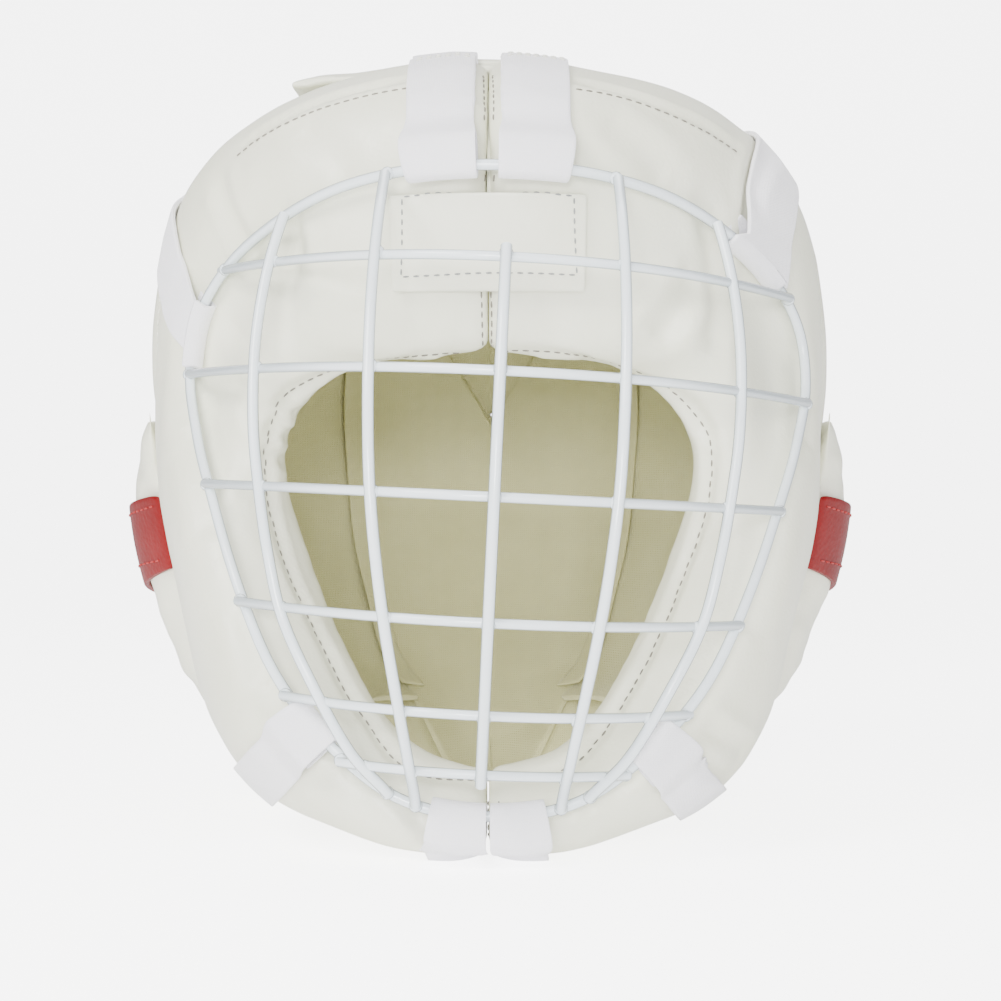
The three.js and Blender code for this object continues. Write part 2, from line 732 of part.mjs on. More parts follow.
// Round piping in the seam between the forehead and the crown
const pipingPoints = [];
for (let turn = sideTurnHigh + 1; turn <= 180 - sideTurnHigh - 1; turn += 2) {
  const point = shellPoint(turn, 0);
  point.y += pipingSeat / 2;
  pipingPoints.push(point);
}
function roundShape(radius, sides) {
  const shape = new THREE.Shape();
  for (let step = 0; step < sides; step += 1) {
    const angle = (2 * Math.PI * (step + 0.5)) / sides;
    const [x, y] = [radius * Math.cos(angle), radius * Math.sin(angle)];
    if (step === 0) shape.moveTo(x, y);
    else shape.lineTo(x, y);
  }
  shape.closePath();
  return shape;
}
function wire(curve, radius, steps, sides = 6) {
  const options = { steps, extrudePath: curve, bevelEnabled: false };
  return new THREE.ExtrudeGeometry(roundShape(radius, sides), options);
}
addMesh('top_piping', wire(new THREE.CatmullRomCurve3(pipingPoints), pipingRadius, 20), ivoryLeather);

// Point on a front pad for a place along its section, counted in section points. Past the seam,
// a place counts on over the rear shell.
const seamPlace = frontSection(90).length - 1;
const reachPerPlace = 0.3;
function padPoint(fullTurn, place) {
  const section = frontSection(fullTurn);
  if (place > seamPlace) return shellPoint(fullTurn, (place - seamPlace) * reachPerPlace);
  const index = Math.min(Math.floor(place), seamPlace - 1);
  return section[index].clone().lerp(section[index + 1], place - index);
}

// Place on the forehead for a point seen from the front
function foreheadSpot(x, z) {
  const turn = THREE.MathUtils.radToDeg(Math.atan2((z - openingHeight) / halfHeight, x / halfWidth));
  let low = 2;
  let high = 6;
  for (let step = 0; step < 20; step += 1) {
    const middle = (low + high) / 2;
    const point = padPoint(turn, middle);
    if (Math.hypot((point.z - openingHeight) / halfHeight, point.x / halfWidth)
      < Math.hypot((z - openingHeight) / halfHeight, x / halfWidth)) low = middle;
    else high = middle;
  }
  return padPoint(turn, low);
}
const patchTop = cageCentreZ + cageHeight / 2 - ringSeat - patchDrop;
function patchPlace(u, v) {
  const x = lerp(-0.5, 0.5, u) * patchWidth;
  const z = patchTop - patchHeight * (1 - v);
  const point = foreheadSpot(x, z);
  const rise = foreheadSpot(x, z + 1).sub(foreheadSpot(x, z - 1));
  const along = foreheadSpot(x + 1, z).sub(foreheadSpot(x - 1, z));
  const away = along.cross(rise).normalize();
  if (away.y > 0) away.negate();
  return { point, away };
}
addMesh(
  'forehead_patch',
  sheetSolid(patchPlace, 8, 3, () => 2 * clearance + patchWall, () => 2 * clearance),
  ivoryLeather,
);

// Webbing strap: a hairpin that folds round the ring and runs out over the pad
function webbingTurn(row, place, across) {
  const base = degrees(row.turn);
  const target = row.aside + row.drift * Math.max((place - ridgePlace) / (row.end - ridgePlace), 0) + across;
  const sideways = (turn) => {
    const point = padPoint(turn, place);
    return -point.x * Math.sin(base) + (point.z - openingHeight) * Math.cos(base);
  };
  const straight = sideways(row.turn);
  let low = row.turn - 35;
  let high = row.turn + 35;
  for (let step = 0; step < 22; step += 1) {
    const middle = (low + high) / 2;
    if (sideways(middle) - straight < target) low = middle;
    else high = middle;
  }
  return (low + high) / 2;
}
function webbingSpot(row, place, across) {
  const turn = webbingTurn(row, place, across);
  const point = padPoint(turn, place);
  const out = padPoint(turn, place + 0.1).sub(padPoint(turn, place - 0.1));
  const round = padPoint(turn + 0.5, place).sub(padPoint(turn - 0.5, place));
  const away = out.clone().cross(round).normalize();
  const centre = new THREE.Vector3(0, 40, openingHeight);
  if (away.dot(point.clone().sub(centre)) < 0) away.negate();
  return { turn, point, away, out: out.normalize() };
}
const ringReach = ringSeat + ringWire / 2 + ringClearance;
const ridgePlace = 5;
const tabPlace = 5.6;
const webbingPlaces = [5.3, 5.65, 6, 6.5, 7, 7.5, 8, 9, 9.5, 10, 10.06, 10.12, 10.2, 10.35];
function webbingSolid(row) {
  const loops = [];
  const places = webbingPlaces.filter((place) => place < row.end - 0.02);
  places.push(row.end);
  for (let strip = 0; strip <= row.runs; strip += 1) {
    const across = row.width * (strip / row.runs - 0.5);
    const lower = [];
    const upper = [];
    const tab = webbingSpot(row, tabPlace, across);
    const seat = webbingSpot(row, ridgePlace, across);
    const centre = ringPoint(seat.turn);
    const tangent = ringPoint(seat.turn + 1).sub(ringPoint(seat.turn - 1)).normalize();
    const lifted = centre.clone().sub(seat.point);
    lifted.addScaledVector(tangent, -lifted.dot(tangent)).normalize();
    const outward = tangent.clone().cross(lifted);
    if (outward.dot(seat.out) < 0) outward.negate();
    upper.push(tab.point.clone().addScaledVector(tab.away, webbingClearance));
    lower.push(tab.point.clone().addScaledVector(tab.away, webbingClearance + webbingWall));
    const inner = ringWire / 2 + ringClearance;
    for (let step = 0; step <= 4; step += 1) {
      const angle = degrees(90 + step * 45);
      const spot = (radius) => centre.clone()
        .addScaledVector(outward, radius * Math.cos(angle))
        .addScaledVector(lifted, -radius * Math.sin(angle));
      upper.push(spot(inner + webbingWall));
      lower.push(spot(inner));
    }
    for (const place of places) {
      const spot = webbingSpot(row, place, across);
      const settle = smooth(spot.point.distanceTo(padPoint(spot.turn, ridgePlace)), 4, 18);
      let lift = lerp(ringReach, webbingClearance, settle);
      const overPiping = place > 9 && row.end > seamPlace + 0.1;
      if (overPiping) lift = Math.max(lift, 2 * pipingRadius * smooth(place, 9, 9.9));
      if (place > seamPlace) {
        const reach = (place - seamPlace) * reachPerPlace;
        const under = flapShare(spot.turn, reach);
        const onFlap = under.v > -0.1 && under.v < 1.1 && under.u > -0.3;
        const soft = panelLift(spot.turn, reach) + webbingClearance;
        const flap = onFlap ? 2 * clearance + 2 * crownFlapWall : 0;
        lift = Math.max(soft + flap, lerp(2 * pipingRadius, webbingClearance, smooth(place, 10.03, 10.15)));
      }
      lower.push(spot.point.clone().addScaledVector(spot.away, lift));
      upper.push(spot.point.clone().addScaledVector(spot.away, lift + webbingWall));
    }
    loops.push([...upper, ...lower.reverse()].map((point) => point.setZ(Math.max(point.z, 0))));
  }
  return loftSolid(loops);
}
for (const row of webbingRows) addMesh(row.name, webbingSolid(row), whiteWebbing);

// Share of the way from the cage's middle to the ring, seen from the front
const ringFlat = ringCurve.getPoints(240).map((point) => ({
  angle: Math.atan2(point.z - cageCentreZ, point.x - cageCentreX),
  radius: Math.hypot(point.z - cageCentreZ, point.x - cageCentreX),
})).sort((a, b) => a.angle - b.angle);
function ringShare(point) {
  const angle = Math.atan2(point.z - cageCentreZ, point.x - cageCentreX);
  const after = ringFlat.findIndex((sample) => sample.angle > angle);
  const high = ringFlat[after < 0 ? 0 : after];
  const low = ringFlat[after <= 0 ? ringFlat.length - 1 : after - 1];
  const span = ((high.angle - low.angle + 2 * Math.PI) % (2 * Math.PI)) || 1;
  const part = ((angle - low.angle + 2 * Math.PI) % (2 * Math.PI)) / span;
  const radius = lerp(low.radius, high.radius, clamp(part, 0, 1));
  return Math.hypot(point.z - cageCentreZ, point.x - cageCentreX) / radius;
}

const crossLevel = (ringWire + crossWire) / 2 - weldSink;
const uprightStep = (crossWire + uprightWire) / 2 - weldSink;
function uprightOut(up, column) {
  const rows = uprightRows;
  const index = clamp(rows.findIndex((row) => row.up < up), 1, rows.length - 1);
  const [a, b] = [rows[index - 1], rows[index]];
  return lerp(a[column], b[column], (a.up - up) / (a.up - b.up));
}
const bars = [];
const tubes = [];
for (const [column, hand] of [['outer', -1], ['inner', -1], ['inner', 1], ['outer', 1]]) {
  const place = (up) => {
    const near = Math.min(Math.abs(1 - up), Math.abs(up + 0.98));
    const level = (ringWire + uprightWire) / 2 - weldSink + crossLevel * smooth(near, 0.02, 0.16);
    return cagePoint((hand * uprightOut(up, column) * cageWidth) / 2, (up * cageHeight) / 2, level, ringRoll);
  };
  let top = 1.02;
  while (ringShare(place(top)) > 1) top -= 0.002;
  let low = -1.02;
  while (ringShare(place(low)) > 1) low += 0.002;
  const points = [];
  for (let step = 0; step <= 12; step += 1) points.push(place(lerp(low, top, step / 12)));
  tubes.push([new THREE.CatmullRomCurve3(points), uprightWire / 2, 12]);
}
const middleTop = (crossRows[0] * cageHeight) / 2 + crossOverhang;
const middleLow = (crossRows[crossRows.length - 1] * cageHeight) / 2 - crossOverhang;
const middlePoints = [];
for (let step = 0; step <= 8; step += 1) {
  const up = lerp(middleLow, middleTop, step / 8);
  middlePoints.push(cagePoint(0, up, crossLevel + uprightStep, crossRoll));
}
tubes.push([new THREE.CatmullRomCurve3(middlePoints), uprightWire / 2, 10]);
for (const up of crossRows) {
  const place = (out) => cagePoint(out, (up * cageHeight) / 2, crossLevel, crossRoll);
  const reach = (hand) => {
    let out = 0;
    while (ringShare(place(hand * out)) < 1) out += 0.25;
    const slant = place(hand * (out + 1)).distanceTo(place(hand * out));
    return hand * (out + crossOverhang / slant);
  };
  const [left, right] = [reach(-1), reach(1)];
  const points = [];
  for (let step = 0; step <= 12; step += 1) points.push(place(lerp(left, right, step / 12)));
  tubes.push([new THREE.CatmullRomCurve3(points), crossWire / 2, 10]);
}
const ringSteps = 30;
const ringHalf = 28;
const ringTurns = ringCurve.getPoints(2 * ringHalf);
const ringHalves = [ringTurns.slice(0, ringHalf + 2), [...ringTurns.slice(ringHalf), ringTurns[1]]];
for (const half of ringHalves) tubes.push([new THREE.CatmullRomCurve3(half), ringWire / 2, ringSteps]);
let cage = null;
for (const [curve, radius, steps] of tubes) {
  const solid = toManifold(wire(curve, radius, steps));
  cage = cage ? cage.add(solid) : solid;
}
addMesh('face_cage', fromManifold(cage), whiteWire);

// Stand the origin on the ground under the middle of the part
const bounds = new THREE.Box3().setFromObject(group);
const middle = bounds.getCenter(new THREE.Vector3());
group.position.set(-middle.x, -middle.y, -bounds.min.z);
const model = new THREE.Group();
model.add(group);

export default model;
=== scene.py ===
# %% [markdown]
# # Padded boxing headgear with a wire face cage
# The solids from the drawing give every piece its size and place. This script dresses them:
# padded leather that swells between its seams, woven straps, round wire, thread and lining.

# %% Load the frame
import math

import bmesh
import bpy
import numpy as np
from mathutils import Matrix, Vector, noise
from mathutils.bvhtree import BVHTree
from mathutils.kdtree import KDTree


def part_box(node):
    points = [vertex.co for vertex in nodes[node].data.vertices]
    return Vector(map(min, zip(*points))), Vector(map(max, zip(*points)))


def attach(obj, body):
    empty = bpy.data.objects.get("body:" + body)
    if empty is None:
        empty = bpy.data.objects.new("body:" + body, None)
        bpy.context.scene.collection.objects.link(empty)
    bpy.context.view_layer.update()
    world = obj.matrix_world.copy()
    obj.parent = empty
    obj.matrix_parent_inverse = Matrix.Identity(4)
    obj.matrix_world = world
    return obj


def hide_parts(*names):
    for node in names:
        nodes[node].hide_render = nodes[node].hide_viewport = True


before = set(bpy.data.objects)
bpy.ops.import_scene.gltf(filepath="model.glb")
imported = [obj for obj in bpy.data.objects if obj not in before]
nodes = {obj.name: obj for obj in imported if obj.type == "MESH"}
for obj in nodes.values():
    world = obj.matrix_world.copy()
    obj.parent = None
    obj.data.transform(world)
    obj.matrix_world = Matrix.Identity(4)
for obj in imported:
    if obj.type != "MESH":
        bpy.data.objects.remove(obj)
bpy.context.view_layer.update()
MM = 0.001

# %% [markdown]
# ## Camera
# The headgear is seen straight from the front, from about 0.8 m. A long lens keeps the cage from
# bulging. The helper below turns a place in the picture into a point on a piece, so that seams
# and creases can be put where they are seen and still lie on the padding.

# %% Camera
PICTURE = 1001
CAMERA_AT = Vector((0.0037, -0.7845, 0.1091))
FOCAL = 2286
SENSOR = 36.0

camera_data = bpy.data.cameras.new("camera")
camera_data.sensor_width = SENSOR
camera_data.lens = SENSOR * FOCAL / PICTURE
camera = bpy.data.objects.new("camera", camera_data)
camera.location = CAMERA_AT
camera.rotation_euler = (math.radians(90), 0, 0)
bpy.context.collection.objects.link(camera)
bpy.context.scene.camera = camera


def sight(px, py):
    """Direction from the camera through a place in the picture."""
    middle = PICTURE / 2
    return Vector(((px - middle) / FOCAL, 1, (middle - py) / FOCAL)).normalized()


print("lens", round(camera_data.lens, 1))

# %% [markdown]
# ## Floor and light
# A white sweep and four soft lamps give the even light of a product picture, with soft highlights
# on the leather and enough light inside to see the lining. The sweep's own material, further down,
# glows for the camera only, so that it looks white and still doesn't wash the object out.

# %% Floor and light
FLOOR_HALF = 3.0
SWEEP_RADIUS = 0.8
LAMP_AIM = Vector((0, 0, 0.12))
WORLD_STRENGTH = 0.3


def link(name, data):
    piece = bpy.data.objects.new(name, data)
    bpy.context.collection.objects.link(piece)
    return piece


def shade_smooth(mesh):
    for face in mesh.polygons:
        face.use_smooth = True


def from_bmesh(name, bm):
    data = bpy.data.meshes.new(name)
    bm.to_mesh(data)
    bm.free()
    shade_smooth(data)
    return link(name, data)


bm = bmesh.new()
bmesh.ops.create_grid(bm, x_segments=1, y_segments=1, size=FLOOR_HALF)
far = [e for e in bm.edges if all(v.co.y > 0 for v in e.verts)]
wall = bmesh.ops.extrude_edge_only(bm, edges=far)["geom"]
lifted = [part for part in wall if isinstance(part, bmesh.types.BMVert)]
bmesh.ops.translate(bm, verts=lifted, vec=(0, 0, FLOOR_HALF))
bend = [e for e in bm.edges if all(v.co.y > 0 and v.co.z < 0.01 for v in e.verts)]
bmesh.ops.bevel(bm, geom=bend, offset=SWEEP_RADIUS, segments=16, profile=0.5, affect="EDGES",
                material=-1)
floor = from_bmesh("floor", bm)


def lamp(name, place, size, power, colour):
    """A soft rectangular lamp that points at the middle of the headgear."""
    data = bpy.data.lights.new(name, "AREA")
    data.shape = "RECTANGLE"
    data.size, data.size_y = size
    data.energy = power
    data.color = colour
    light = link(name, data)
    light.location = place
    light.rotation_euler = (LAMP_AIM - Vector(place)).to_track_quat("-Z", "Y").to_euler()


LAMPS = [  # name, place, size, power, colour
    ("key", (-0.75, -1.0, 1.0), (0.6, 0.6), 26, (1, 0.99, 0.96)),
    ("fill", (1.0, -1.0, 0.6), (0.8, 1.0), 7, (1, 1, 1)),
    ("top", (0.1, 0.1, 1.5), (1.0, 0.8), 14, (1, 1, 1)),
    ("front", (-0.15, -1.6, 0.3), (0.4, 0.3), 24, (1, 1, 1)),
]
for row in LAMPS:
    lamp(*row)

world = bpy.data.worlds.new("world")
bpy.context.scene.world = world
world.use_nodes = True
sky = world.node_tree.nodes["Background"]
sky.inputs["Color"].default_value = (0.96, 0.97, 1.0, 1)
sky.inputs["Strength"].default_value = WORLD_STRENGTH
print("lamps", len(LAMPS))

# %% [markdown]
# ## Shader groups
# Grain, weave and uneven tone are used by several materials, so each is a node group with its
# own sockets, built once. A group only puts out heights and masks. The shader and its constants
# stay in each material.

# %% Shader groups


def node_group(name, inputs, outputs):
    """A shader group with float inputs (name, default) and float outputs."""
    tree = bpy.data.node_groups.new(name, "ShaderNodeTree")
    for label, value in inputs:
        socket = tree.interface.new_socket(name=label, in_out="INPUT", socket_type="NodeSocketFloat")
        socket.default_value = value
    for label in outputs:
        tree.interface.new_socket(name=label, in_out="OUTPUT", socket_type="NodeSocketFloat")
    return tree, tree.nodes.new("NodeGroupInput"), tree.nodes.new("NodeGroupOutput")


def wire_up(tree, source, out, target, into):
    tree.links.new(source.outputs[out], target.inputs[into])


def maths(tree, operation, a, b):
    """A Math node whose inputs are numbers or (node, output) pairs."""
    node = tree.nodes.new("ShaderNodeMath")
    node.operation = operation
    for index, value in enumerate((a, b)):
        if isinstance(value, tuple):
            wire_up(tree, value[0], value[1], node, index)
        else:
            node.inputs[index].default_value = value
    return node


def grain_group():
    """Leather grain: fine cells of uneven size with soft pores between them."""
    tree, given, result = node_group("leather_grain", [("Cells", 700.0)], ["Height"])
    place = tree.nodes.new("ShaderNodeTexCoord")
    cells = tree.nodes.new("ShaderNodeTexVoronoi")
    cells.feature = "SMOOTH_F1"
    fine = tree.nodes.new("ShaderNodeTexNoise")
    fine.inputs["Detail"].default_value = 4
    wire_up(tree, place, "Object", cells, "Vector")
    wire_up(tree, place, "Object", fine, "Vector")
    wire_up(tree, given, "Cells", cells, "Scale")
    wire_up(tree, given, "Cells", fine, "Scale")
    low = maths(tree, "MULTIPLY", (cells, "Distance"), -1.0)
    both = maths(tree, "MULTIPLY_ADD", (fine, "Fac"), 0.6)
    wire_up(tree, low, 0, both, 2)
    wire_up(tree, both, 0, result, "Height")
    return tree


def tone_group():
    """Uneven tone over a surface, as a soft mask."""
    sockets = [("Scale", 14.0), ("Low", 0.4), ("High", 0.7)]
    tree, given, result = node_group("uneven_tone", sockets, ["Mask"])
    place = tree.nodes.new("ShaderNodeTexCoord")
    cloud = tree.nodes.new("ShaderNodeTexNoise")
    cloud.inputs["Detail"].default_value = 5
    cloud.inputs["Roughness"].default_value = 0.6
    spread = tree.nodes.new("ShaderNodeMapRange")
    wire_up(tree, place, "Object", cloud, "Vector")
    wire_up(tree, given, "Scale", cloud, "Scale")
    wire_up(tree, cloud, "Fac", spread, "Value")
    wire_up(tree, given, "Low", spread, "From Min")
    wire_up(tree, given, "High", spread, "From Max")
    wire_up(tree, spread, "Result", result, "Mask")
    return tree


def weave_group():
    """Plain weave: threads one way over threads the other way, with a little fuzz."""
    tree, given, result = node_group("plain_weave", [("Threads", 500.0), ("Fuzz", 0.3)], ["Height"])
    place = tree.nodes.new("ShaderNodeTexCoord")
    heights = []
    for axis in ("X", "Z"):
        wave = tree.nodes.new("ShaderNodeTexWave")
        wave.bands_direction = axis
        wave.inputs["Distortion"].default_value = 1.5
        wave.inputs["Detail"].default_value = 1
        wire_up(tree, place, "Object", wave, "Vector")
        wire_up(tree, given, "Threads", wave, "Scale")
        heights.append(wave)
    over = maths(tree, "MAXIMUM", (heights[0], "Fac"), (heights[1], "Fac"))
    fuzz = tree.nodes.new("ShaderNodeTexNoise")
    fuzz.inputs["Detail"].default_value = 3
    wire_up(tree, place, "Object", fuzz, "Vector")
    wire_up(tree, given, "Threads", fuzz, "Scale")
    soft = maths(tree, "MULTIPLY", (fuzz, "Fac"), 0.0)
    wire_up(tree, given, "Fuzz", soft, 1)
    total = maths(tree, "ADD", (over, 0), (soft, 0))
    wire_up(tree, total, 0, result, "Height")
    return tree


GRAIN, TONE, WEAVE = grain_group(), tone_group(), weave_group()
print("groups", GRAIN.name, TONE.name, WEAVE.name)

# %% [markdown]
# ## Materials
# The leather is a coated ivory hide with a soft gloss. The straps are matt and hairy, the lining is
# woven cloth, and the wire has a smooth powder coat.

# %% Materials


GLOSS_SPREAD = 0.08


def finish(name, light, dark, rough, height=None, bump=0.3, depth=0.0002, **fixed):
    """A material with uneven tone between two colours, uneven gloss and a fine relief."""
    made = bpy.data.materials.new(name)
    made.use_nodes = True
    tree = made.node_tree
    shader = tree.nodes["Principled BSDF"]
    mask = tree.nodes.new("ShaderNodeGroup")
    mask.node_tree = TONE
    mix = tree.nodes.new("ShaderNodeMix")
    mix.data_type = "RGBA"
    mix.inputs["A"].default_value = (*light, 1)
    mix.inputs["B"].default_value = (*dark, 1)
    wire_up(tree, mask, "Mask", mix, "Factor")
    tree.links.new(mix.outputs["Result"], shader.inputs["Base Color"])
    gloss = maths(tree, "MULTIPLY_ADD", (mask, "Mask"), GLOSS_SPREAD)
    gloss.inputs[2].default_value = rough
    wire_up(tree, gloss, 0, shader, "Roughness")
    if height:
        group, settings = height
        relief = tree.nodes.new("ShaderNodeGroup")
        relief.node_tree = group
        for label, value in settings.items():
            relief.inputs[label].default_value = value
        raised = tree.nodes.new("ShaderNodeBump")
        raised.inputs["Strength"].default_value = bump
        raised.inputs["Distance"].default_value = depth
        wire_up(tree, relief, "Height", raised, "Height")
        wire_up(tree, raised, "Normal", shader, "Normal")
    for label, value in fixed.items():
        shader.inputs[label.replace("_", " ")].default_value = value
    return made


ivory = finish("ivory_leather", (0.88, 0.88, 0.735), (0.82, 0.825, 0.66), 0.34,
               (GRAIN, {"Cells": 750.0}), 0.35, 0.00025)
red = finish("red_leather", (0.19, 0.0004, 0.001), (0.12, 0.0003, 0.0008), 0.42,
             (GRAIN, {"Cells": 650.0}), 0.4, 0.00025, Specular_IOR_Level=0.25)
khaki = finish("khaki_lining", (0.66, 0.64, 0.37), (0.58, 0.56, 0.30), 0.8,
               (WEAVE, {"Threads": 380.0}), 0.5, 0.0003, Sheen_Weight=0.25)
tape = finish("white_webbing", (0.97, 0.955, 1.0), (0.93, 0.915, 0.97), 0.82,
              (WEAVE, {"Threads": 620.0, "Fuzz": 1.6}), 0.4, 0.0003, Sheen_Weight=0.6)
coat = finish("white_wire", (0.82, 0.885, 0.925), (0.77, 0.84, 0.885), 0.2,
              (GRAIN, {"Cells": 260.0}), 0.06, 0.0002, Coat_Weight=0.35)


def shade_rims(made, rim, start):
    """Darkens a round wire towards its sides, where the powder coat lies in its own shade."""
    tree = made.node_tree
    shader = tree.nodes["Principled BSDF"]
    base = shader.inputs["Base Color"].links[0].from_socket
    turned = tree.nodes.new("ShaderNodeLayerWeight")
    spread = tree.nodes.new("ShaderNodeMapRange")
    spread.inputs["From Min"].default_value = start
    spread.inputs["From Max"].default_value = 1.0
    wire_up(tree, turned, "Facing", spread, "Value")
    mix = tree.nodes.new("ShaderNodeMix")
    mix.data_type = "RGBA"
    mix.inputs["B"].default_value = (*rim, 1)
    wire_up(tree, spread, "Result", mix, "Factor")
    tree.links.new(base, mix.inputs["A"])
    tree.links.new(mix.outputs["Result"], shader.inputs["Base Color"])


shade_rims(coat, (0.09, 0.125, 0.15), 0.36)
thread = finish("ivory_thread", (0.80, 0.80, 0.72), (0.70, 0.70, 0.62), 0.6)
# The front's stitches are coloured dark grey-brown: the colour is the thread together with painted shade
# of its needle holes.
thread_and_hole_shade = finish("thread_and_hole_shade", (0.22, 0.205, 0.17), (0.16, 0.15, 0.125), 0.6)
grey_thread = finish("grey_thread", (0.28, 0.29, 0.28), (0.20, 0.21, 0.21), 0.6)
red_thread = finish("red_thread", (0.40, 0.03, 0.03), (0.30, 0.02, 0.02), 0.6)

GLOW_SEEN, GLOW_CAST = (1, 1, 1, 1), (0.16, 0.16, 0.16, 1)
ground = finish("floor_paper", (0.93, 0.93, 0.93), (0.92, 0.92, 0.92), 0.75, Emission_Strength=5.0)
tree = ground.node_tree
glow = tree.nodes.new("ShaderNodeMix")
glow.data_type = "RGBA"
glow.inputs["A"].default_value = GLOW_CAST
glow.inputs["B"].default_value = GLOW_SEEN
wire_up(tree, tree.nodes.new("ShaderNodeLightPath"), "Is Camera Ray", glow, "Factor")
tree.links.new(glow.outputs["Result"], tree.nodes["Principled BSDF"].inputs["Emission Color"])
floor.data.materials.append(ground)
print("materials", len(bpy.data.materials))

# %% [markdown]
# ## Padding
# A padded panel is foam in a leather skin. A copy of the drawn solid is closed up, given an even
# mesh, and swollen with the cloth solver like a cushion, so that it crowns between its seams.
# The swelling is capped so that neighbours stay clear of each other. Smoothing then takes out
# the flats of the drawn solid.

# %% Padding helpers


HEAD_AXIS_Y, HEAD_MIDDLE = 0.02, 0.12
INWARD = 0.2
SMOOTH_SHARE = 0.5
PRESSURE, QUICK_SWELL = 4.0, 0.6
PATH_STEP, PATH_FINE = 1.5 * MM, 12
PRESS_REACH, PRESS_FADE = 3, 0.12
SHOULDER_RISE, SHOULDER_AT = 0.35, 1.6
SEAM_GAP = 0.15 * MM
HANDS = (("left", -1), ("right", 1))


def clean_copy(node, name):
    """A merged copy of a drawn solid as a new piece that stands for it."""
    bm = bmesh.new()
    bm.from_mesh(nodes[node].data)
    bmesh.ops.remove_doubles(bm, verts=bm.verts, dist=0.02 * MM)
    bmesh.ops.join_triangles(bm, faces=bm.faces, angle_face_threshold=math.radians(25),
                             angle_shape_threshold=math.radians(60))
    return from_bmesh(name, bm)


def settle(piece):
    """Applies the modifiers of a piece to its mesh."""
    done = bpy.data.meshes.new_from_object(piece.evaluated_get(bpy.context.evaluated_depsgraph_get()))
    piece.modifiers.clear()
    piece.data = done
    shade_smooth(done)


def corners(piece):
    flat = np.empty(len(piece.data.vertices) * 3)
    piece.data.vertices.foreach_get("co", flat)
    return flat.reshape(-1, 3)


def put_back(piece, points):
    piece.data.vertices.foreach_set("co", np.ascontiguousarray(points, dtype=np.float32).ravel())
    piece.data.update()


def normals(piece):
    flat = np.empty(len(piece.data.vertices) * 3)
    piece.data.vertices.foreach_get("normal", flat)
    return flat.reshape(-1, 3)


def even_mesh(piece, size):
    grid = piece.modifiers.new("even", "REMESH")
    grid.mode = "VOXEL"
    grid.voxel_size = size
    settle(piece)


def smooth_out(piece, times):
    bm = bmesh.new()
    bm.from_mesh(piece.data)
    for _ in range(times):
        bmesh.ops.smooth_vert(bm, verts=bm.verts, factor=SMOOTH_SHARE, use_axis_x=True,
                              use_axis_y=True, use_axis_z=True)
    bm.to_mesh(piece.data)
    bm.free()
    piece.data.update()


def swell(piece, cap, frames=16):
    """Blows a closed piece up with the cloth solver, moving no point further than the cap."""
    start = corners(piece)
    cloth = piece.modifiers.new("swell", "CLOTH")
    cloth.settings.use_pressure = True
    cloth.settings.uniform_pressure_force = PRESSURE
    cloth.settings.effector_weights.gravity = 0
    cloth.settings.quality = 4
    cloth.point_cache.frame_end = frames
    for step in range(1, frames + 1):
        bpy.context.scene.frame_set(step)
    grown = piece.evaluated_get(bpy.context.evaluated_depsgraph_get())
    flat = np.empty(len(start) * 3)
    grown.data.vertices.foreach_get("co", flat)
    moved = np.nan_to_num(flat.reshape(-1, 3) - start)
    piece.modifiers.clear()
    bpy.context.scene.frame_set(1)
    far = np.linalg.norm(moved, axis=1, keepdims=True)
    put_back(piece, start + moved * np.minimum(1, cap / np.maximum(far, 1e-9)))


def subdivide(piece, levels=1):
    even = piece.modifiers.new("subdivide", "SUBSURF")
    even.levels = even.render_levels = levels


def dress(piece, look, slot, *replaced):
    piece.data.materials.clear()
    piece.data.materials.append(look)
    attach(piece, "root")
    if replaced:
        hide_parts(*replaced)
    return piece


def line_inside(piece):
    """Gives the faces that look towards the head the lining's material."""
    piece.data.materials.append(khaki)
    for face in piece.data.polygons:
        out = face.center - Vector((0, HEAD_AXIS_Y, min(face.center.z, HEAD_MIDDLE)))
        if face.normal.dot(out.normalized()) < -INWARD:
            face.material_index = 1


def tree_of(*pieces):
    """One search tree over the faces of several pieces."""
    points, faces = [], []
    for piece in pieces:
        base = len(points)
        points.extend(v.co.copy() for v in piece.data.vertices)
        faces.extend([base + i for i in f.vertices] for f in piece.data.polygons)
    return BVHTree.FromPolygons(points, faces)


def seen(tree, px, py):
    """The point of a piece that shows at a place in the picture."""
    return tree.ray_cast(CAMERA_AT, sight(px, py))[0]


def between(a, b, c, d, t):
    """The point a share t of the way from b to c on a smooth curve through four points."""
    return b + 0.5 * t * (c - a + t * (2 * a - 5 * b + 4 * c - d + t * (3 * (b - c) + d - a)))


def seen_path(tree, picks):
    """Smooth even path over a piece through places in the picture."""
    places = np.array(picks, dtype=float)
    fine = []
    for i in range(len(places) - 1):
        a, b = places[max(i - 1, 0)], places[i]
        c, d = places[i + 1], places[min(i + 2, len(places) - 1)]
        fine += [between(a, b, c, d, t) for t in np.linspace(0, 1, PATH_FINE, endpoint=False)]
    fine.append(places[-1])
    points = [p for p in (seen(tree, *place) for place in fine) if p is not None]
    if len(points) < 2:
        print("not seen", picks)
        return np.zeros((0, 3))
    return even_path(points, PATH_STEP)


def even_path(points, step):
    """The same path with its points at equal steps."""
    line = np.array([tuple(p) for p in points])
    along = np.concatenate([[0], np.cumsum(np.linalg.norm(np.diff(line, axis=0), axis=1))])
    count = max(int(round(along[-1] / step)), 1)
    places = np.linspace(0, along[-1], count + 1)
    return np.stack([np.interp(places, along, line[:, k]) for k in range(3)], axis=1)


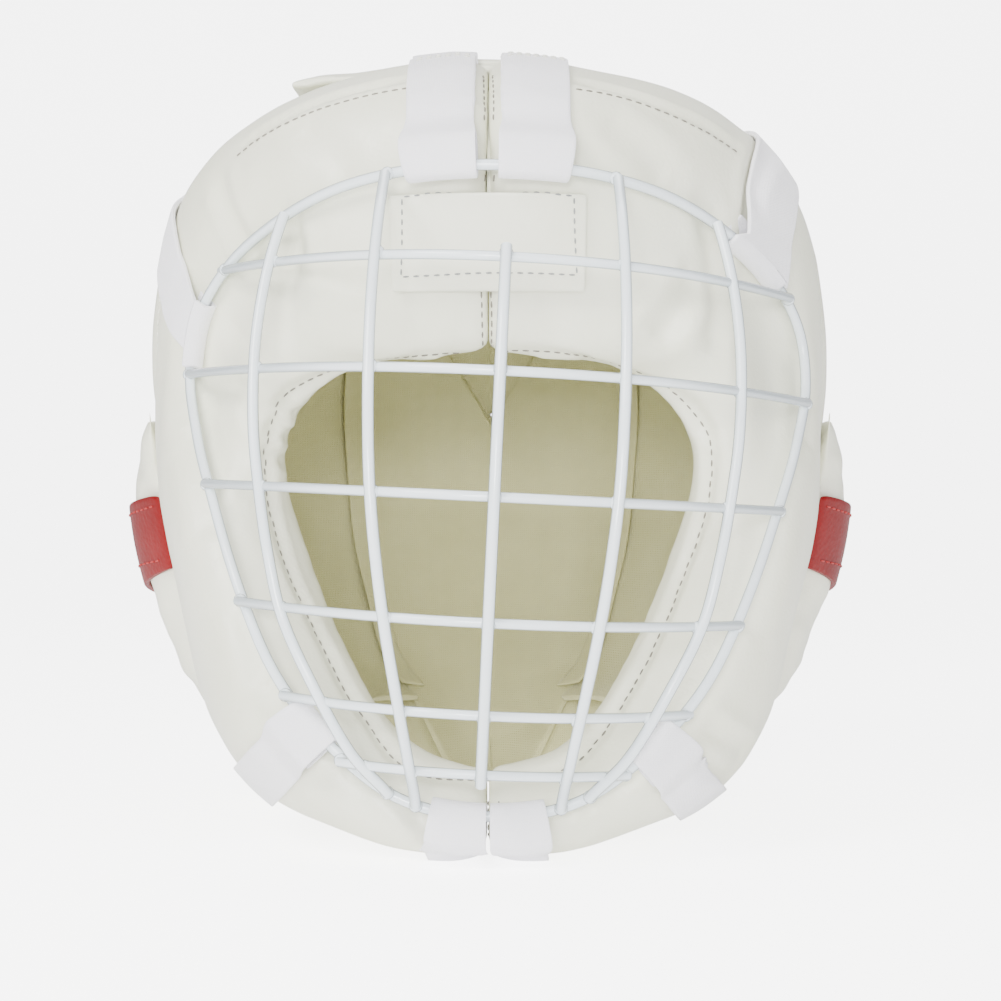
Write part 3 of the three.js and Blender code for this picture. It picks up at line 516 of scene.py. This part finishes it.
def press(piece, path, depth, width):
    """Presses a crease into a piece along a path, with a soft shoulder on either side."""
    if len(path) == 0:
        return
    points = corners(piece)
    away = normals(piece)
    search = KDTree(len(path))
    for index, point in enumerate(path):
        search.insert(point, index)
    search.balance()
    reach = PRESS_REACH * width
    low, high = path.min(axis=0) - reach, path.max(axis=0) + reach
    near = np.where(np.all((points > low) & (points < high), axis=1))[0]
    ends = len(path) * PRESS_FADE + 1
    for i in near:
        _, index, gap = search.find(points[i])
        if gap > reach:
            continue
        fade = min(1.0, (index + 1) / ends, (len(path) - index) / ends)
        share = gap / width
        shoulder = SHOULDER_RISE * math.exp(-((share - SHOULDER_AT) ** 2) * 2)
        profile = math.exp(-share * share) - shoulder
        points[i] -= away[i] * depth * profile * fade
    put_back(piece, points)


def waves(piece, size, height, seed, stretch=(1, 1, 1)):
    """Slow uneven swells of a soft skin."""
    points = corners(piece)
    away = normals(piece)
    shift = Vector((seed, 0, 0))
    lift = np.array([noise.noise(Vector(p) * (1 / size) + shift) for p in points * stretch])
    put_back(piece, points + away * (lift * height)[:, None])


def keep_to_side(piece, hand):
    """Keeps a piece on its own side of the middle seam."""
    points = corners(piece)
    points[:, 0] = np.maximum(points[:, 0] * hand, SEAM_GAP) * hand
    put_back(piece, points)


print("helpers ready")

# %% [markdown]
# ## Front pads
# The front is two C-shaped cushions, sewn together at the forehead and the chin. Each gets its
# swell, then the creases that pull in beside the seams, under the cage and at the jaw.

# %% Front pads
FRONT_GRID = 3.6 * MM
PANEL_SWELL = 2.2 * MM
ROLL, ROLL_PULL = 7 * MM, 0.75
RIM = 1.6
pads = {}


def sew_shut(piece, hand, drawn):
    """Brings the sewn rim of a cushion back to the middle line, with a soft roll into the seam."""
    points = corners(piece)
    near = np.clip(1 - np.abs(drawn[:, :1]) / ROLL, 0, 1)
    points = points * (1 - ROLL_PULL * near) + drawn * ROLL_PULL * near
    rim = np.clip(RIM - np.abs(drawn[:, 0]) / (RIM * MM), 0, 1)
    points[:, 0] = np.maximum(points[:, 0] * hand * (1 - rim) + SEAM_GAP * rim, SEAM_GAP) * hand
    put_back(piece, points)


for side, hand in HANDS:
    pad = clean_copy(f"front_pad_{side}", f"front_{side}")
    even_mesh(pad, FRONT_GRID)
    smooth_out(pad, 2)
    drawn = corners(pad)
    smooth_out(pad, 2)
    swell(pad, PANEL_SWELL)
    smooth_out(pad, 10)
    sew_shut(pad, hand, drawn)
    subdivide(pad)
    settle(pad)
    pads[side] = pad
print("front pad points", {side: len(pad.data.vertices) for side, pad in pads.items()})

# %% [markdown]
# Each crease is a row of places in the picture with its own depth and width. The path is found on
# the pads and pressed in with the outline of a soft fold. A last slow wave makes the skin uneven.

# %% Creases of the front pads
CREASES = {  # places in the picture, share of the depth, width in mm
    "left": [
        ([(288, 222), (292, 245), (290, 270)], 1.6, 5),
        ([(230, 378), (246, 396), (266, 424)], 1.2, 4),
        ([(217, 178), (226, 205), (240, 235), (262, 262)], 1.0, 4),
        ([(300, 128), (330, 150), (352, 178)], 0.8, 5),
        ([(232, 600), (252, 640), (262, 690)], 1.0, 5),
        ([(408, 806), (424, 826), (432, 846)], 1.0, 4),
        ([(300, 715), (322, 735), (350, 748)], 0.8, 4),
        ([(226, 318), (240, 340), (262, 352)], 0.9, 4),
        ([(196, 420), (206, 470), (214, 540)], 0.8, 6),
        ([(352, 300), (400, 318), (450, 322)], 0.7, 8),
        ([(283, 404), (294, 414), (303, 412)], 1.0, 2.5),
        ([(276, 424), (288, 436), (296, 434)], 1.0, 2.5),
        ([(272, 452), (284, 460), (293, 458)], 0.9, 2.5),
    ],
    "right": [
        ([(703, 205), (712, 250), (716, 300), (712, 360)], 1.6, 5),
        ([(652, 338), (672, 318), (696, 276)], 1.4, 5),
        ([(764, 152), (752, 190), (748, 250)], 1.2, 4),
        ([(700, 725), (726, 742), (756, 760)], 1.4, 4),
        ([(690, 748), (712, 766), (735, 774)], 1.0, 4),
        ([(574, 800), (570, 826), (560, 846)], 1.0, 4),
        ([(770, 520), (764, 570), (748, 640)], 0.8, 6),
        ([(690, 400), (700, 412), (706, 430)], 0.8, 3),
        ([(530, 300), (580, 312), (640, 314)], 0.7, 8),
        ([(604, 118), (640, 146), (668, 180)], 0.8, 6),
        ([(798, 350), (806, 400), (806, 450)], 0.8, 6),
    ],
}
CREASE_DEPTH = 1.7
TOP_SEAM_DEPTH, TOP_SEAM_WIDTH = 1.5 * MM, 2.2 * MM
SKIN_SIZE, SKIN_HEIGHT = 45 * MM, 1.1 * MM
TOP_SEAM = {
    "left": [(236, 150), (262, 130), (300, 110), (340, 96), (380, 86), (410, 81)],
    "right": [(574, 82), (610, 88), (650, 100), (700, 122), (738, 146)],
}
front_tree = tree_of(*pads.values())
for side, rows in CREASES.items():
    for picks, depth, width in rows:
        press(pads[side], seen_path(front_tree, picks), CREASE_DEPTH * depth * MM, width * MM)
    press(pads[side], seen_path(front_tree, TOP_SEAM[side]), TOP_SEAM_DEPTH, TOP_SEAM_WIDTH)
    waves(pads[side], SKIN_SIZE, SKIN_HEIGHT, 3.0 if side == "left" else 9.0)
print("creases", {side: len(rows) for side, rows in CREASES.items()})

# %% [markdown]
# A stitch line runs round the face opening and pulls a shallow channel into the pad, so that the
# facing inside it rolls over as a soft edge.

# %% Channel round the face opening
CHANNEL_DEPTH, CHANNEL_WIDTH = 1.3 * MM, 2.6 * MM
FACING = {
    "left": [
        (488, 352), (444, 354), (390, 362), (335, 373), (300, 387), (281, 402), (271, 430), (267, 456),
        (271, 504), (287, 562), (303, 600), (335, 667), (351, 697), (367, 718), (395, 757), (430, 776),
        (484, 780),
    ],
    "right": [
        (492, 352), (514, 351), (561, 355), (620, 369), (675, 395), (704, 427), (710, 453), (707, 498),
        (694, 542), (678, 584), (663, 622), (640, 670), (605, 727), (573, 762), (540, 776), (496, 780),
    ],
}
front_tree = tree_of(*pads.values())
facing_paths = {}
for side, picks in FACING.items():
    facing_paths[side] = seen_path(front_tree, picks)
    press(pads[side], facing_paths[side], CHANNEL_DEPTH, CHANNEL_WIDTH)
for side, hand in HANDS:
    keep_to_side(pads[side], hand)
    dress(pads[side], ivory, "ivory_leather", f"front_pad_{side}")
print("facing path lengths", {s: len(p) for s, p in facing_paths.items()})

# %% [markdown]
# ## Rear shell
# The side, back and crown panels are plainer cushions. They are made the same way, with a
# coarser mesh, and their seams show as the valleys between them.

# %% Rear shell
SHELL_GRID, SHELL_FRAMES = 4.5 * MM, 12
SHELL = {
    "side_left": "side_panel_left", "side_right": "side_panel_right", "back": "back_panel",
    "crown_left": "crown_panel_left", "crown_right": "crown_panel_right",
}
shell = {}
for seed, (name, node) in enumerate(SHELL.items()):
    panel = clean_copy(node, name)
    even_mesh(panel, SHELL_GRID)
    smooth_out(panel, 2)
    swell(panel, PANEL_SWELL, frames=SHELL_FRAMES)
    smooth_out(panel, 4)
    waves(panel, 40 * MM, 1.2 * MM, 20.0 + seed)
    if name.startswith("crown"):
        keep_to_side(panel, -1 if name.endswith("left") else 1)
    if name == "back":
        points = corners(panel)
        points[:, 2] = np.maximum(points[:, 2], 0)
        put_back(panel, points)
    subdivide(panel)
    settle(panel)
    shell[name] = dress(panel, ivory, "ivory_leather", node)
    line_inside(panel)
print("shell points", {name: len(panel.data.vertices) for name, panel in shell.items()})

# %% [markdown]
# ## Ear pads and crown flap
# The ear pads are slack little cushions held under the red straps, so they wrinkle. The crown
# flap is a thinner pad that closes the top and curls up at one end.

# %% Ear pads and crown flap
EAR_GRID, EAR_SWELL = 3 * MM, 2.0 * MM
WRINKLE_SIZE, WRINKLE_HEIGHT, WRINKLE_STRETCH = 12 * MM, 1.3 * MM, (1, 1, 1.8)
FLAP_GRID = 1.6 * MM

for seed, (side, _) in enumerate(HANDS):
    pad = clean_copy(f"ear_pad_{side}", f"ear_{side}")
    even_mesh(pad, EAR_GRID)
    swell(pad, EAR_SWELL, frames=SHELL_FRAMES)
    smooth_out(pad, 4)
    waves(pad, WRINKLE_SIZE, WRINKLE_HEIGHT, 40.0 + seed, stretch=WRINKLE_STRETCH)
    subdivide(pad)
    settle(pad)
    shell[f"ear_{side}"] = dress(pad, ivory, "ivory_leather", f"ear_pad_{side}")

flap = clean_copy("crown_flap", "crown_tongue")
even_mesh(flap, FLAP_GRID)
smooth_out(flap, 3)
subdivide(flap)
settle(flap)
dress(flap, ivory, "ivory_leather", "crown_flap")
print("ear pads and flap ready")

# %% [markdown]
# ## Lining
# The lining is thin khaki cloth inside the padding. It isn't stuffed, so the drawn sheet is only
# rounded, and rumpled a little. Two stitched bands cover its seams.

# %% Lining
SHARP = math.radians(55)


def rounded(node, name, levels=2, hold=0.7):
    """A copy of a drawn strip with smooth bends and firm rims."""
    piece = clean_copy(node, name)
    bm = bmesh.new()
    bm.from_mesh(piece.data)
    crease = bm.edges.layers.float.new("crease_edge")
    for edge in bm.edges:
        if edge.is_manifold and edge.calc_face_angle() > SHARP:
            edge[crease] = hold
    bm.to_mesh(piece.data)
    bm.free()
    subdivide(piece, levels)
    settle(piece)
    return piece


TUCK_LENGTH, TUCK_DROP = 28 * MM, 17 * MM


def tuck_under(piece):
    """Draws the rear end of the crown's lining down behind the back lining."""
    points = corners(piece)
    share = np.clip(1 - (points[:, 1].max() - points[:, 1]) / TUCK_LENGTH, 0, 1)
    points[:, 2] -= TUCK_DROP * share ** 2
    put_back(piece, points)


for seed, node in enumerate(("side_lining_left", "side_lining_right", "back_lining", "crown_lining")):
    cloth = rounded(node, node.replace("lining", "cloth"), levels=3)
    waves(cloth, 26 * MM, 1.0 * MM, 60.0 + seed)
    if node == "crown_lining":
        tuck_under(cloth)
    dress(cloth, khaki, "khaki_lining", node)
for side, _ in HANDS:
    band = rounded(f"lining_band_{side}", f"seam_band_{side}")
    dress(band, khaki, "khaki_lining", f"lining_band_{side}")
print("lining ready")

# %% [markdown]
# ## Straps and piping
# Webbing has firm square rims and bends smoothly round the ring, so its rims are creased before
# it is subdivided. Red straps are folded leather and get rounder rims.

# %% Straps and piping
WEBBING = [f"{place}_strap_{side}" for place in ("top", "upper", "lower", "chin") for side, _ in HANDS]
straps = {}
for node in WEBBING:
    strap = rounded(node, f"{node}_tape", levels=3, hold=0.9)
    straps[node] = dress(strap, tape, "white_webbing", node)
for side, _ in HANDS:
    node = f"red_strap_{side}"
    strap = rounded(node, f"red_band_{side}", levels=3, hold=0.5)
    straps[node] = dress(strap, red, "red_leather", node)
piping = rounded("top_piping", "crown_piping", hold=0)
dress(piping, ivory, "ivory_leather", "top_piping")
patch = rounded("forehead_patch", "brow_patch", levels=3, hold=0.6)
dress(patch, ivory, "ivory_leather", "forehead_patch")
print("straps", len(straps))

# %% [markdown]
# ## Face cage
# The cage is bent from steel wire: one ring that lies on the padding, six cross wires in front of
# it and five uprights in front of those, welded where they touch. Each wire is a curve with a
# round section. The tables give the ring and the uprights as shares of the cage's half height
# and half width, as in the drawing.

# %% Face cage
CAGE_HALF_WIDTH, CAGE_HALF_HEIGHT = 100.0, 96.5
CAGE_CENTRE_X, CAGE_CENTRE_Z, CAGE_FRONT = 2.0, 112.0, 165.0
SIDE_FALL, END_FALL, FALL_POWER = 103.0, 42.0, 2.2
RING_WIRE, CROSS_WIRE, WELD_SINK = 3.4, 3.0, 0.4
RING_ROLL, CROSS_ROLL, OVERHANG = 1.2, 2.75, 3.0
RING_ROWS = [  # up, out
    (1, 0), (0.995, 0.17), (0.975, 0.34), (0.933, 0.52), (0.855, 0.693), (0.743, 0.855), (0.58, 0.972),
    (0.376, 1), (0.175, 0.957), (0, 0.898), (-0.297, 0.787), (-0.57, 0.66), (-0.77, 0.5), (-0.92, 0.324),
    (-0.985, 0.166), (-1, 0),
]
UPRIGHT_ROWS = [  # up, outer, inner
    (1.02, 0.6, 0.345), (0.9, 0.655, 0.352), (0.69, 0.705, 0.362), (0.45, 0.73, 0.365), (0.2, 0.725, 0.36),
    (0, 0.7, 0.35), (-0.2, 0.665, 0.33), (-0.4, 0.615, 0.303), (-0.6, 0.52, 0.27), (-0.8, 0.41, 0.237),
    (-0.93, 0.3, 0.218), (-1.02, 0.25, 0.212),
]
CROSS_ROWS = [0.69, 0.345, -0.02, -0.385, -0.665, -0.855]
RING_POINTS, UPRIGHT_POINTS, MIDDLE_POINTS, CROSS_POINTS = 320, 240, 120, 441
LOW_END, END_START, END_RISE = 0.98, 0.02, 0.14
CROSS_REACH, END_STEPS = 1.1, 40


def cage_point(out, up, level, roll):
    """A point of the domed cage, in millimetres, from shares of its half width and half height."""
    fall = SIDE_FALL * abs(out) ** FALL_POWER + END_FALL * abs(up) ** FALL_POWER
    across, rise, angle = out * CAGE_HALF_WIDTH, up * CAGE_HALF_HEIGHT, math.radians(roll)
    return np.array((
        CAGE_CENTRE_X + across * math.cos(angle) + rise * math.sin(angle),
        fall - CAGE_FRONT - level,
        CAGE_CENTRE_Z - across * math.sin(angle) + rise * math.cos(angle),
    ))


def spline(points, count, closed=False):
    """Points of a smooth curve through a row of points."""
    line = np.asarray(points, dtype=float)
    total = len(line)
    spans = total if closed else total - 1
    at = (lambda i: line[i % total]) if closed else (lambda i: line[min(max(i, 0), total - 1)])
    result = []
    for place in np.linspace(0, spans, count, endpoint=not closed):
        i = min(int(place), spans - 1)
        t = place - i
        a, b, c, d = at(i - 1), at(i), at(i + 1), at(i + 2)
        result.append(between(a, b, c, d, t))
    return np.array(result)


ring_shares = RING_ROWS + [(up, -out) for up, out in RING_ROWS[-2:0:-1]]
ring_corners = [cage_point(out, up, 0, RING_ROLL) for up, out in ring_shares]
ring_line = spline(ring_corners, RING_POINTS, closed=True)
ring_angles = np.arctan2(ring_line[:, 2] - CAGE_CENTRE_Z, ring_line[:, 0] - CAGE_CENTRE_X)
ring_reach = np.hypot(ring_line[:, 2] - CAGE_CENTRE_Z, ring_line[:, 0] - CAGE_CENTRE_X)
order = np.argsort(ring_angles)


def ring_share(point):
    """Share of the way from the cage's middle to the ring, seen from the front."""
    angle = math.atan2(point[2] - CAGE_CENTRE_Z, point[0] - CAGE_CENTRE_X)
    edge = np.interp(angle, ring_angles[order], ring_reach[order], period=2 * math.pi)
    return math.hypot(point[2] - CAGE_CENTRE_Z, point[0] - CAGE_CENTRE_X) / edge


cross_level = (RING_WIRE + CROSS_WIRE) / 2 - WELD_SINK
ups = np.array([row[0] for row in UPRIGHT_ROWS])[::-1]
uprights, crosses = [], []
for column, hand in ((1, -1), (2, -1), (2, 1), (1, 1)):
    outs = np.array([row[column] for row in UPRIGHT_ROWS])[::-1]
    shape = spline(np.stack([ups, outs], axis=1), UPRIGHT_POINTS)
    line = []
    for up, out in shape:
        near = min(abs(1 - up), abs(up + LOW_END))
        t = min(max((near - END_START) / END_RISE, 0), 1)
        level = RING_WIRE - WELD_SINK + cross_level * t * t * (3 - 2 * t)
        point = cage_point(hand * out, up, level, RING_ROLL)
        if ring_share(point) < 1:
            line.append(point)
    uprights.append(np.array(line))
low = CROSS_ROWS[-1] - OVERHANG / CAGE_HALF_HEIGHT
high = CROSS_ROWS[0] + OVERHANG / CAGE_HALF_HEIGHT
middle_level = cross_level + (CROSS_WIRE + RING_WIRE) / 2 - WELD_SINK
middle_ups = np.linspace(low, high, MIDDLE_POINTS)
uprights.append(np.array([cage_point(0, up, middle_level, CROSS_ROLL) for up in middle_ups]))
cross_outs = np.linspace(-CROSS_REACH, CROSS_REACH, CROSS_POINTS)
for up in CROSS_ROWS:
    line = [cage_point(out, up, cross_level, CROSS_ROLL) for out in cross_outs]
    inside = [i for i, point in enumerate(line) if ring_share(point) < 1]
    first, last = inside[0], inside[-1]
    for _ in range(END_STEPS):
        if np.linalg.norm(line[first] - line[inside[0]]) < OVERHANG:
            first -= 1
        if np.linalg.norm(line[last] - line[inside[-1]]) < OVERHANG:
            last += 1
    crosses.append(np.array(line[first:last + 1]))
wires = [(ring_line, RING_WIRE, True)]
wires += [(line, RING_WIRE, False) for line in uprights]
wires += [(line, CROSS_WIRE, False) for line in crosses]


def round_wire(name, lines):
    """One mesh of round wires from (points, diameter, closed) rows in millimetres."""
    curve = bpy.data.curves.new(name, "CURVE")
    curve.dimensions = "3D"
    curve.bevel_depth = 1 * MM
    curve.bevel_resolution = 3
    curve.use_fill_caps = True
    for points, diameter, closed in lines:
        run = curve.splines.new("POLY")
        keep = points[::2] if len(points) > 150 else points
        run.points.add(len(keep) - 1)
        run.points.foreach_set("co", np.column_stack([keep * MM, np.ones(len(keep))]).ravel())
        run.points.foreach_set("radius", np.full(len(keep), diameter / 2))
        run.use_cyclic_u = closed
    holder = link(name, curve)
    mesh = bpy.data.meshes.new_from_object(holder.evaluated_get(bpy.context.evaluated_depsgraph_get()))
    bpy.data.objects.remove(holder)
    shade_smooth(mesh)
    return link(name, mesh)


cage = round_wire("cage_wire", wires)
print("wires", len(wires))

# %% [markdown]
# Where two wires touch, a small bead of weld fills the corner between them. The cage then moves
# onto the place of the drawn one.

# %% Welds and place of the cage
WELD_NEAR, WELD_RADIUS, WELD_SQUAT = 4, 2.15 * MM, 0.85


def welds_between(one, other):
    """The place where two wires touch, as a row of one point, or an empty row."""
    gaps = np.linalg.norm(one[:, None] - other[None], axis=2)
    i, j = np.unravel_index(gaps.argmin(), gaps.shape)
    return [(one[i] + other[j]) / 2] if gaps[i, j] < WELD_NEAR else []


welds = []
for upright in uprights:
    for cross in crosses:
        welds += welds_between(upright, cross)
for line in uprights[:4] + crosses:
    for half in (line[:len(line) // 2], line[len(line) // 2:]):
        welds += welds_between(half, ring_line)
bm = bmesh.new()
bm.from_mesh(cage.data)
for point in welds:
    squat = Matrix.Translation(Vector(point * MM)) @ Matrix.Diagonal((1.0, WELD_SQUAT, 1.0, 1.0))
    bmesh.ops.create_icosphere(bm, subdivisions=2, radius=WELD_RADIUS, matrix=squat)
bm.to_mesh(cage.data)
bm.free()
shade_smooth(cage.data)
own = corners(cage)
low, high = (np.array(corner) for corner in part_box("face_cage"))
cage_shift = (low + high) / 2 - (own.min(axis=0) + own.max(axis=0)) / 2
own += cage_shift
put_back(cage, own)
dress(cage, coat, "white_wire", "face_cage")
print("welds", len(welds))
print("cage size", np.round(own.max(axis=0) - own.min(axis=0), 4), "drawn", np.round(high - low, 4))

# %% [markdown]
# ## Straps on the padding
# The padding has drawn in a little at its corners, so each strap is laid down on it again. Close to
# the ring it keeps its fold.

# %% Straps on the padding
FOLD_NEAR, FOLD_FAR = 9 * MM, 20 * MM
STRAP_GAP, STRAP_WALL = 0.8 * MM, 1.6 * MM
padding_tree = tree_of(*pads.values(), *shell.values(), flap, piping)
ring_points = KDTree(len(ring_line))
for index, point in enumerate(ring_line * MM + cage_shift):
    ring_points.insert(point, index)
ring_points.balance()


def lay_down(piece):
    """Moves a strap's points down onto the padding, and leaves those near the ring."""
    points, away = corners(piece), normals(piece)
    for i, place in enumerate(points):
        point = Vector(place)
        spot, out, _, gap = padding_tree.find_nearest(point)
        share = min(max((ring_points.find(point)[2] - FOLD_NEAR) / (FOLD_FAR - FOLD_NEAR), 0), 1)
        if share == 0 or (point - spot).dot(out) <= 0:
            continue
        rest = STRAP_GAP + STRAP_WALL * (0.5 + 0.5 * out.dot(Vector(away[i])))
        if gap > rest:
            points[i] += np.array(spot - point) * (1 - rest / gap) * share * share * (3 - 2 * share)
    put_back(piece, points)


for node in WEBBING:
    lay_down(straps[node])
print("straps laid down", len(WEBBING))

# %% [markdown]
# ## Middle seam
# The two halves of the front are sewn edge to edge. The turned edges fill the bottom of the seam, so
# it reads as a fine line and not as a slot.

# %% Middle seam
SEAM_SINK = Vector((0, 1.6 * MM, 0))
SEAM_CORD, SEAM_POINTS = 1.7, 60
SEAM_X, SEAM_ASIDE = 489.5, 6
SEAM_RUNS = ((66, 120, 200, 290, 350), (768, 800, 852))
front_tree = tree_of(*pads.values())
seam_lines = []
for run in SEAM_RUNS:
    sides = []
    for aside in (-SEAM_ASIDE, SEAM_ASIDE):
        hits = [seen(front_tree, SEAM_X + aside, y) for y in run]
        sides.append([hit for hit in hits if hit is not None])
    middle = [(one + other) / 2 + SEAM_SINK for one, other in zip(*sides)]
    if len(middle) >= 2:
        line = spline([tuple(point) for point in middle], SEAM_POINTS)
        seam_lines.append((line / MM, SEAM_CORD, False))
cord = round_wire("middle_seam", seam_lines)
dress(cord, ivory, "ivory_leather")
print("middle seam runs", len(seam_lines))

# %% [markdown]
# ## Thread
# Each stitch is a small grain of thread, longer than it is wide, half sunk into the surface. Rows
# are laid along paths that were found on the pieces.

# %% Thread
THREAD_RISE = 0.15
THREAD_NEAR = 4 * MM
LEAST_SIDE = 0.2


def stitch_row(bm, tree, path, pitch, length, width):
    """Lays stitches along a path, each turned to the surface below it."""
    if len(path) < 2:
        return
    row = even_path(path, pitch)
    for start, end in zip(row[:-1], row[1:]):
        middle = Vector((start + end) / 2)
        spot, away, _, gap = tree.find_nearest(middle)
        if spot is None or gap > THREAD_NEAR:
            continue
        ahead = Vector(end - start).normalized()
        side = away.cross(ahead)
        if side.length < LEAST_SIDE:
            continue
        side.normalize()
        turn = Matrix((ahead, side, away)).transposed().to_4x4()
        size = Matrix.Diagonal((length / 2, width / 2, width / 2, 1))
        place = Matrix.Translation(spot + away * width * THREAD_RISE)
        bmesh.ops.create_uvsphere(bm, u_segments=6, v_segments=5, radius=1,
                                  matrix=place @ turn @ size)


def sewn(name, look, slot, rows, pitch, length, width):
    """One piece of thread from (tree, path) rows, with its sizes in millimetres."""
    bm = bmesh.new()
    for tree, path in rows:
        stitch_row(bm, tree, path, pitch * MM, length * MM, width * MM)
    print(name, "faces", len(bm.faces))
    return dress(from_bmesh(name, bm), look, slot)


MIDDLE_ROWS = [
    [(488, 76), (489, 100), (489, 122)],
    [(490, 172), (489, 184)],
    [(486, 290), (487, 320), (487, 352)],
    [(494, 800), (494, 830), (493, 852)],
]
MIDDLE_ASIDE, TOP_SEAM_BELOW = 5, 7
front_tree = tree_of(*pads.values())
rows = [(front_tree, path) for path in facing_paths.values()]
for picks in MIDDLE_ROWS:
    for aside in (-MIDDLE_ASIDE, MIDDLE_ASIDE):
        rows.append((front_tree, seen_path(front_tree, [(x + aside, y) for x, y in picks])))
for picks in TOP_SEAM.values():
    below = [(x, y + TOP_SEAM_BELOW) for x, y in picks]
    rows.append((front_tree, seen_path(front_tree, below)))
# Stitches round the face opening, along the middle seam and under the top seam; their dark colour is
# partly painted shade of the needle holes.
sewn("facing_stitches", thread_and_hole_shade, "ivory_leather", rows, pitch=3.3, length=2.4, width=0.6)

patch_tree = tree_of(patch)
PATCH_ROWS = [
    [(402, 197), (440, 193), (483, 191), (530, 192), (574, 196)],
    [(401, 277), (440, 275), (478, 273), (530, 273), (577, 275)],
    [(402, 197), (402, 240), (401, 277)],
    [(574, 196), (575, 240), (577, 275)],
]
rows = [(patch_tree, seen_path(patch_tree, picks)) for picks in PATCH_ROWS]
sewn("patch_stitches", grey_thread, "ivory_leather", rows, pitch=3.2, length=2.1, width=0.6)

# %% [markdown]
# The panels of the shell are sewn where their drawn solids meet. The seam's line is found there,
# and a row of stitches runs along each side of it.

# %% Seams of the rear shell
SHELL_CENTRE = Vector((0, 0.02, 0.125))
SEAM_NEAR, SEAM_STEP, SEAM_JUMP = 3.5 * MM, 4 * MM, 45 * MM
SEAM_LIFT = 2 * MM
SHELL_SEAMS = [
    ("side_panel_left", "back_panel"), ("side_panel_right", "back_panel"),
    ("crown_panel_left", "side_panel_left"), ("crown_panel_right", "side_panel_right"),
    ("front_pad_left", "side_panel_left"), ("front_pad_right", "side_panel_right"),
]
SHELL_ASIDE = 4.5 * MM


def seam_path(one, other):
    """Outer line along which two drawn solids meet, from the corners that lie close together."""
    both = tree_of(nodes[one], nodes[other])
    search = KDTree(len(nodes[other].data.vertices))
    for index, vertex in enumerate(nodes[other].data.vertices):
        search.insert(vertex.co, index)
    search.balance()
    found = []
    for vertex in nodes[one].data.vertices:
        co, _, gap = search.find(vertex.co)
        if gap > SEAM_NEAR:
            continue
        away = (vertex.co - SHELL_CENTRE).normalized()
        if both.ray_cast(vertex.co + away * SEAM_LIFT, away)[0] is None:
            middle = (vertex.co + co) / 2
            if all((middle - old).length > SEAM_STEP for old in found):
                found.append(middle)
    if len(found) < 3:
        return None
    path = [min(found, key=lambda p: p.z - p.y)]
    rest = [p for p in found if p is not path[0]]
    while rest:
        near = min(rest, key=lambda p: (p - path[-1]).length)
        if (near - path[-1]).length > SEAM_JUMP:
            break
        path.append(near)
        rest = [p for p in rest if p is not near]
    return np.array([tuple(p) for p in path])


shell_tree = tree_of(*pads.values(), *(shell[name] for name in SHELL))
rows = []
for one, other in SHELL_SEAMS:
    path = seam_path(one, other)
    if path is None or len(path) < 3:
        print("no seam", one, other)
        continue
    line = spline(path, SEAM_POINTS)
    ahead = np.gradient(line, axis=0)
    for aside in (-SHELL_ASIDE, SHELL_ASIDE):
        shifted = []
        for point, step in zip(line, ahead):
            _, away, _, _ = shell_tree.find_nearest(Vector(point))
            side = away.cross(Vector(step)).normalized()
            shifted.append(shell_tree.find_nearest(Vector(point) + side * aside)[0])
        rows.append((shell_tree, shifted))
sewn("shell_stitches", thread, "ivory_leather", rows, pitch=4, length=3, width=0.75)

# %% [markdown]
# Two rows run along each red strap, and two short rows cross each strap that folds over the top or
# the bottom of the ring. Rays from outside find the places.

# %% Stitches of the straps
RED_HEIGHT, RED_ASIDE = 100, 9
RED_DROP, DROP_END, DROP_POWER = 18, 90, 0.6
RED_AXIS_Y, RED_START, RED_FRONT = 0.01, 0.3, -0.05
RED_ANGLES = np.linspace(-5, 200, 90)
STRAP_ROW_ASIDE, STRAP_MARGIN, STRAP_TRIES = 5 * MM, 2.5 * MM, 12
CROSSING = {  # share of the strap's depth, height of the rays' start, their direction
    "top": (0.35, 0.4, Vector((0, 0, -1))),
    "chin": (0.6, -0.1, Vector((0, 0, 1))),
}

rows = []
for side, hand in HANDS:
    tree = tree_of(straps[f"red_strap_{side}"])
    for share in (-1, 1):
        line = []
        for angle in RED_ANGLES:
            turn = math.radians(angle)
            aim = Vector((hand * math.cos(turn), math.sin(turn), 0))
            if aim.y < RED_FRONT:
                continue
            drop = RED_DROP * (min(max(angle, 0), DROP_END) / DROP_END) ** DROP_POWER
            height = (RED_HEIGHT - drop + share * RED_ASIDE) * MM
            hit = tree.ray_cast(Vector((0, RED_AXIS_Y, height)) + aim * RED_START, -aim)[0]
            if hit is not None:
                line.append(hit)
        if len(line) > 3:
            rows.append((tree, line))
sewn("red_stitches", red_thread, "red_leather", rows, pitch=3.6, length=2.8, width=0.8)

rows = []
for place, (share, height, aim) in CROSSING.items():
    for side, _ in HANDS:
        node = f"{place}_strap_{side}"
        tree = tree_of(straps[node])
        low, high = (np.array(corner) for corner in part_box(node))
        row_y = low[1] + (high[1] - low[1]) * share
        for aside in (0, STRAP_ROW_ASIDE):
            tries = np.linspace(low[0] + STRAP_MARGIN, high[0] - STRAP_MARGIN, STRAP_TRIES)
            hits = [tree.ray_cast(Vector((x, row_y + aside, height)), aim)[0] for x in tries]
            line = [hit for hit in hits if hit is not None]
            if len(line) > 2:
                rows.append((tree, line))
sewn("strap_stitches", thread, "white_webbing", rows, pitch=2.8, length=2.2, width=0.7)
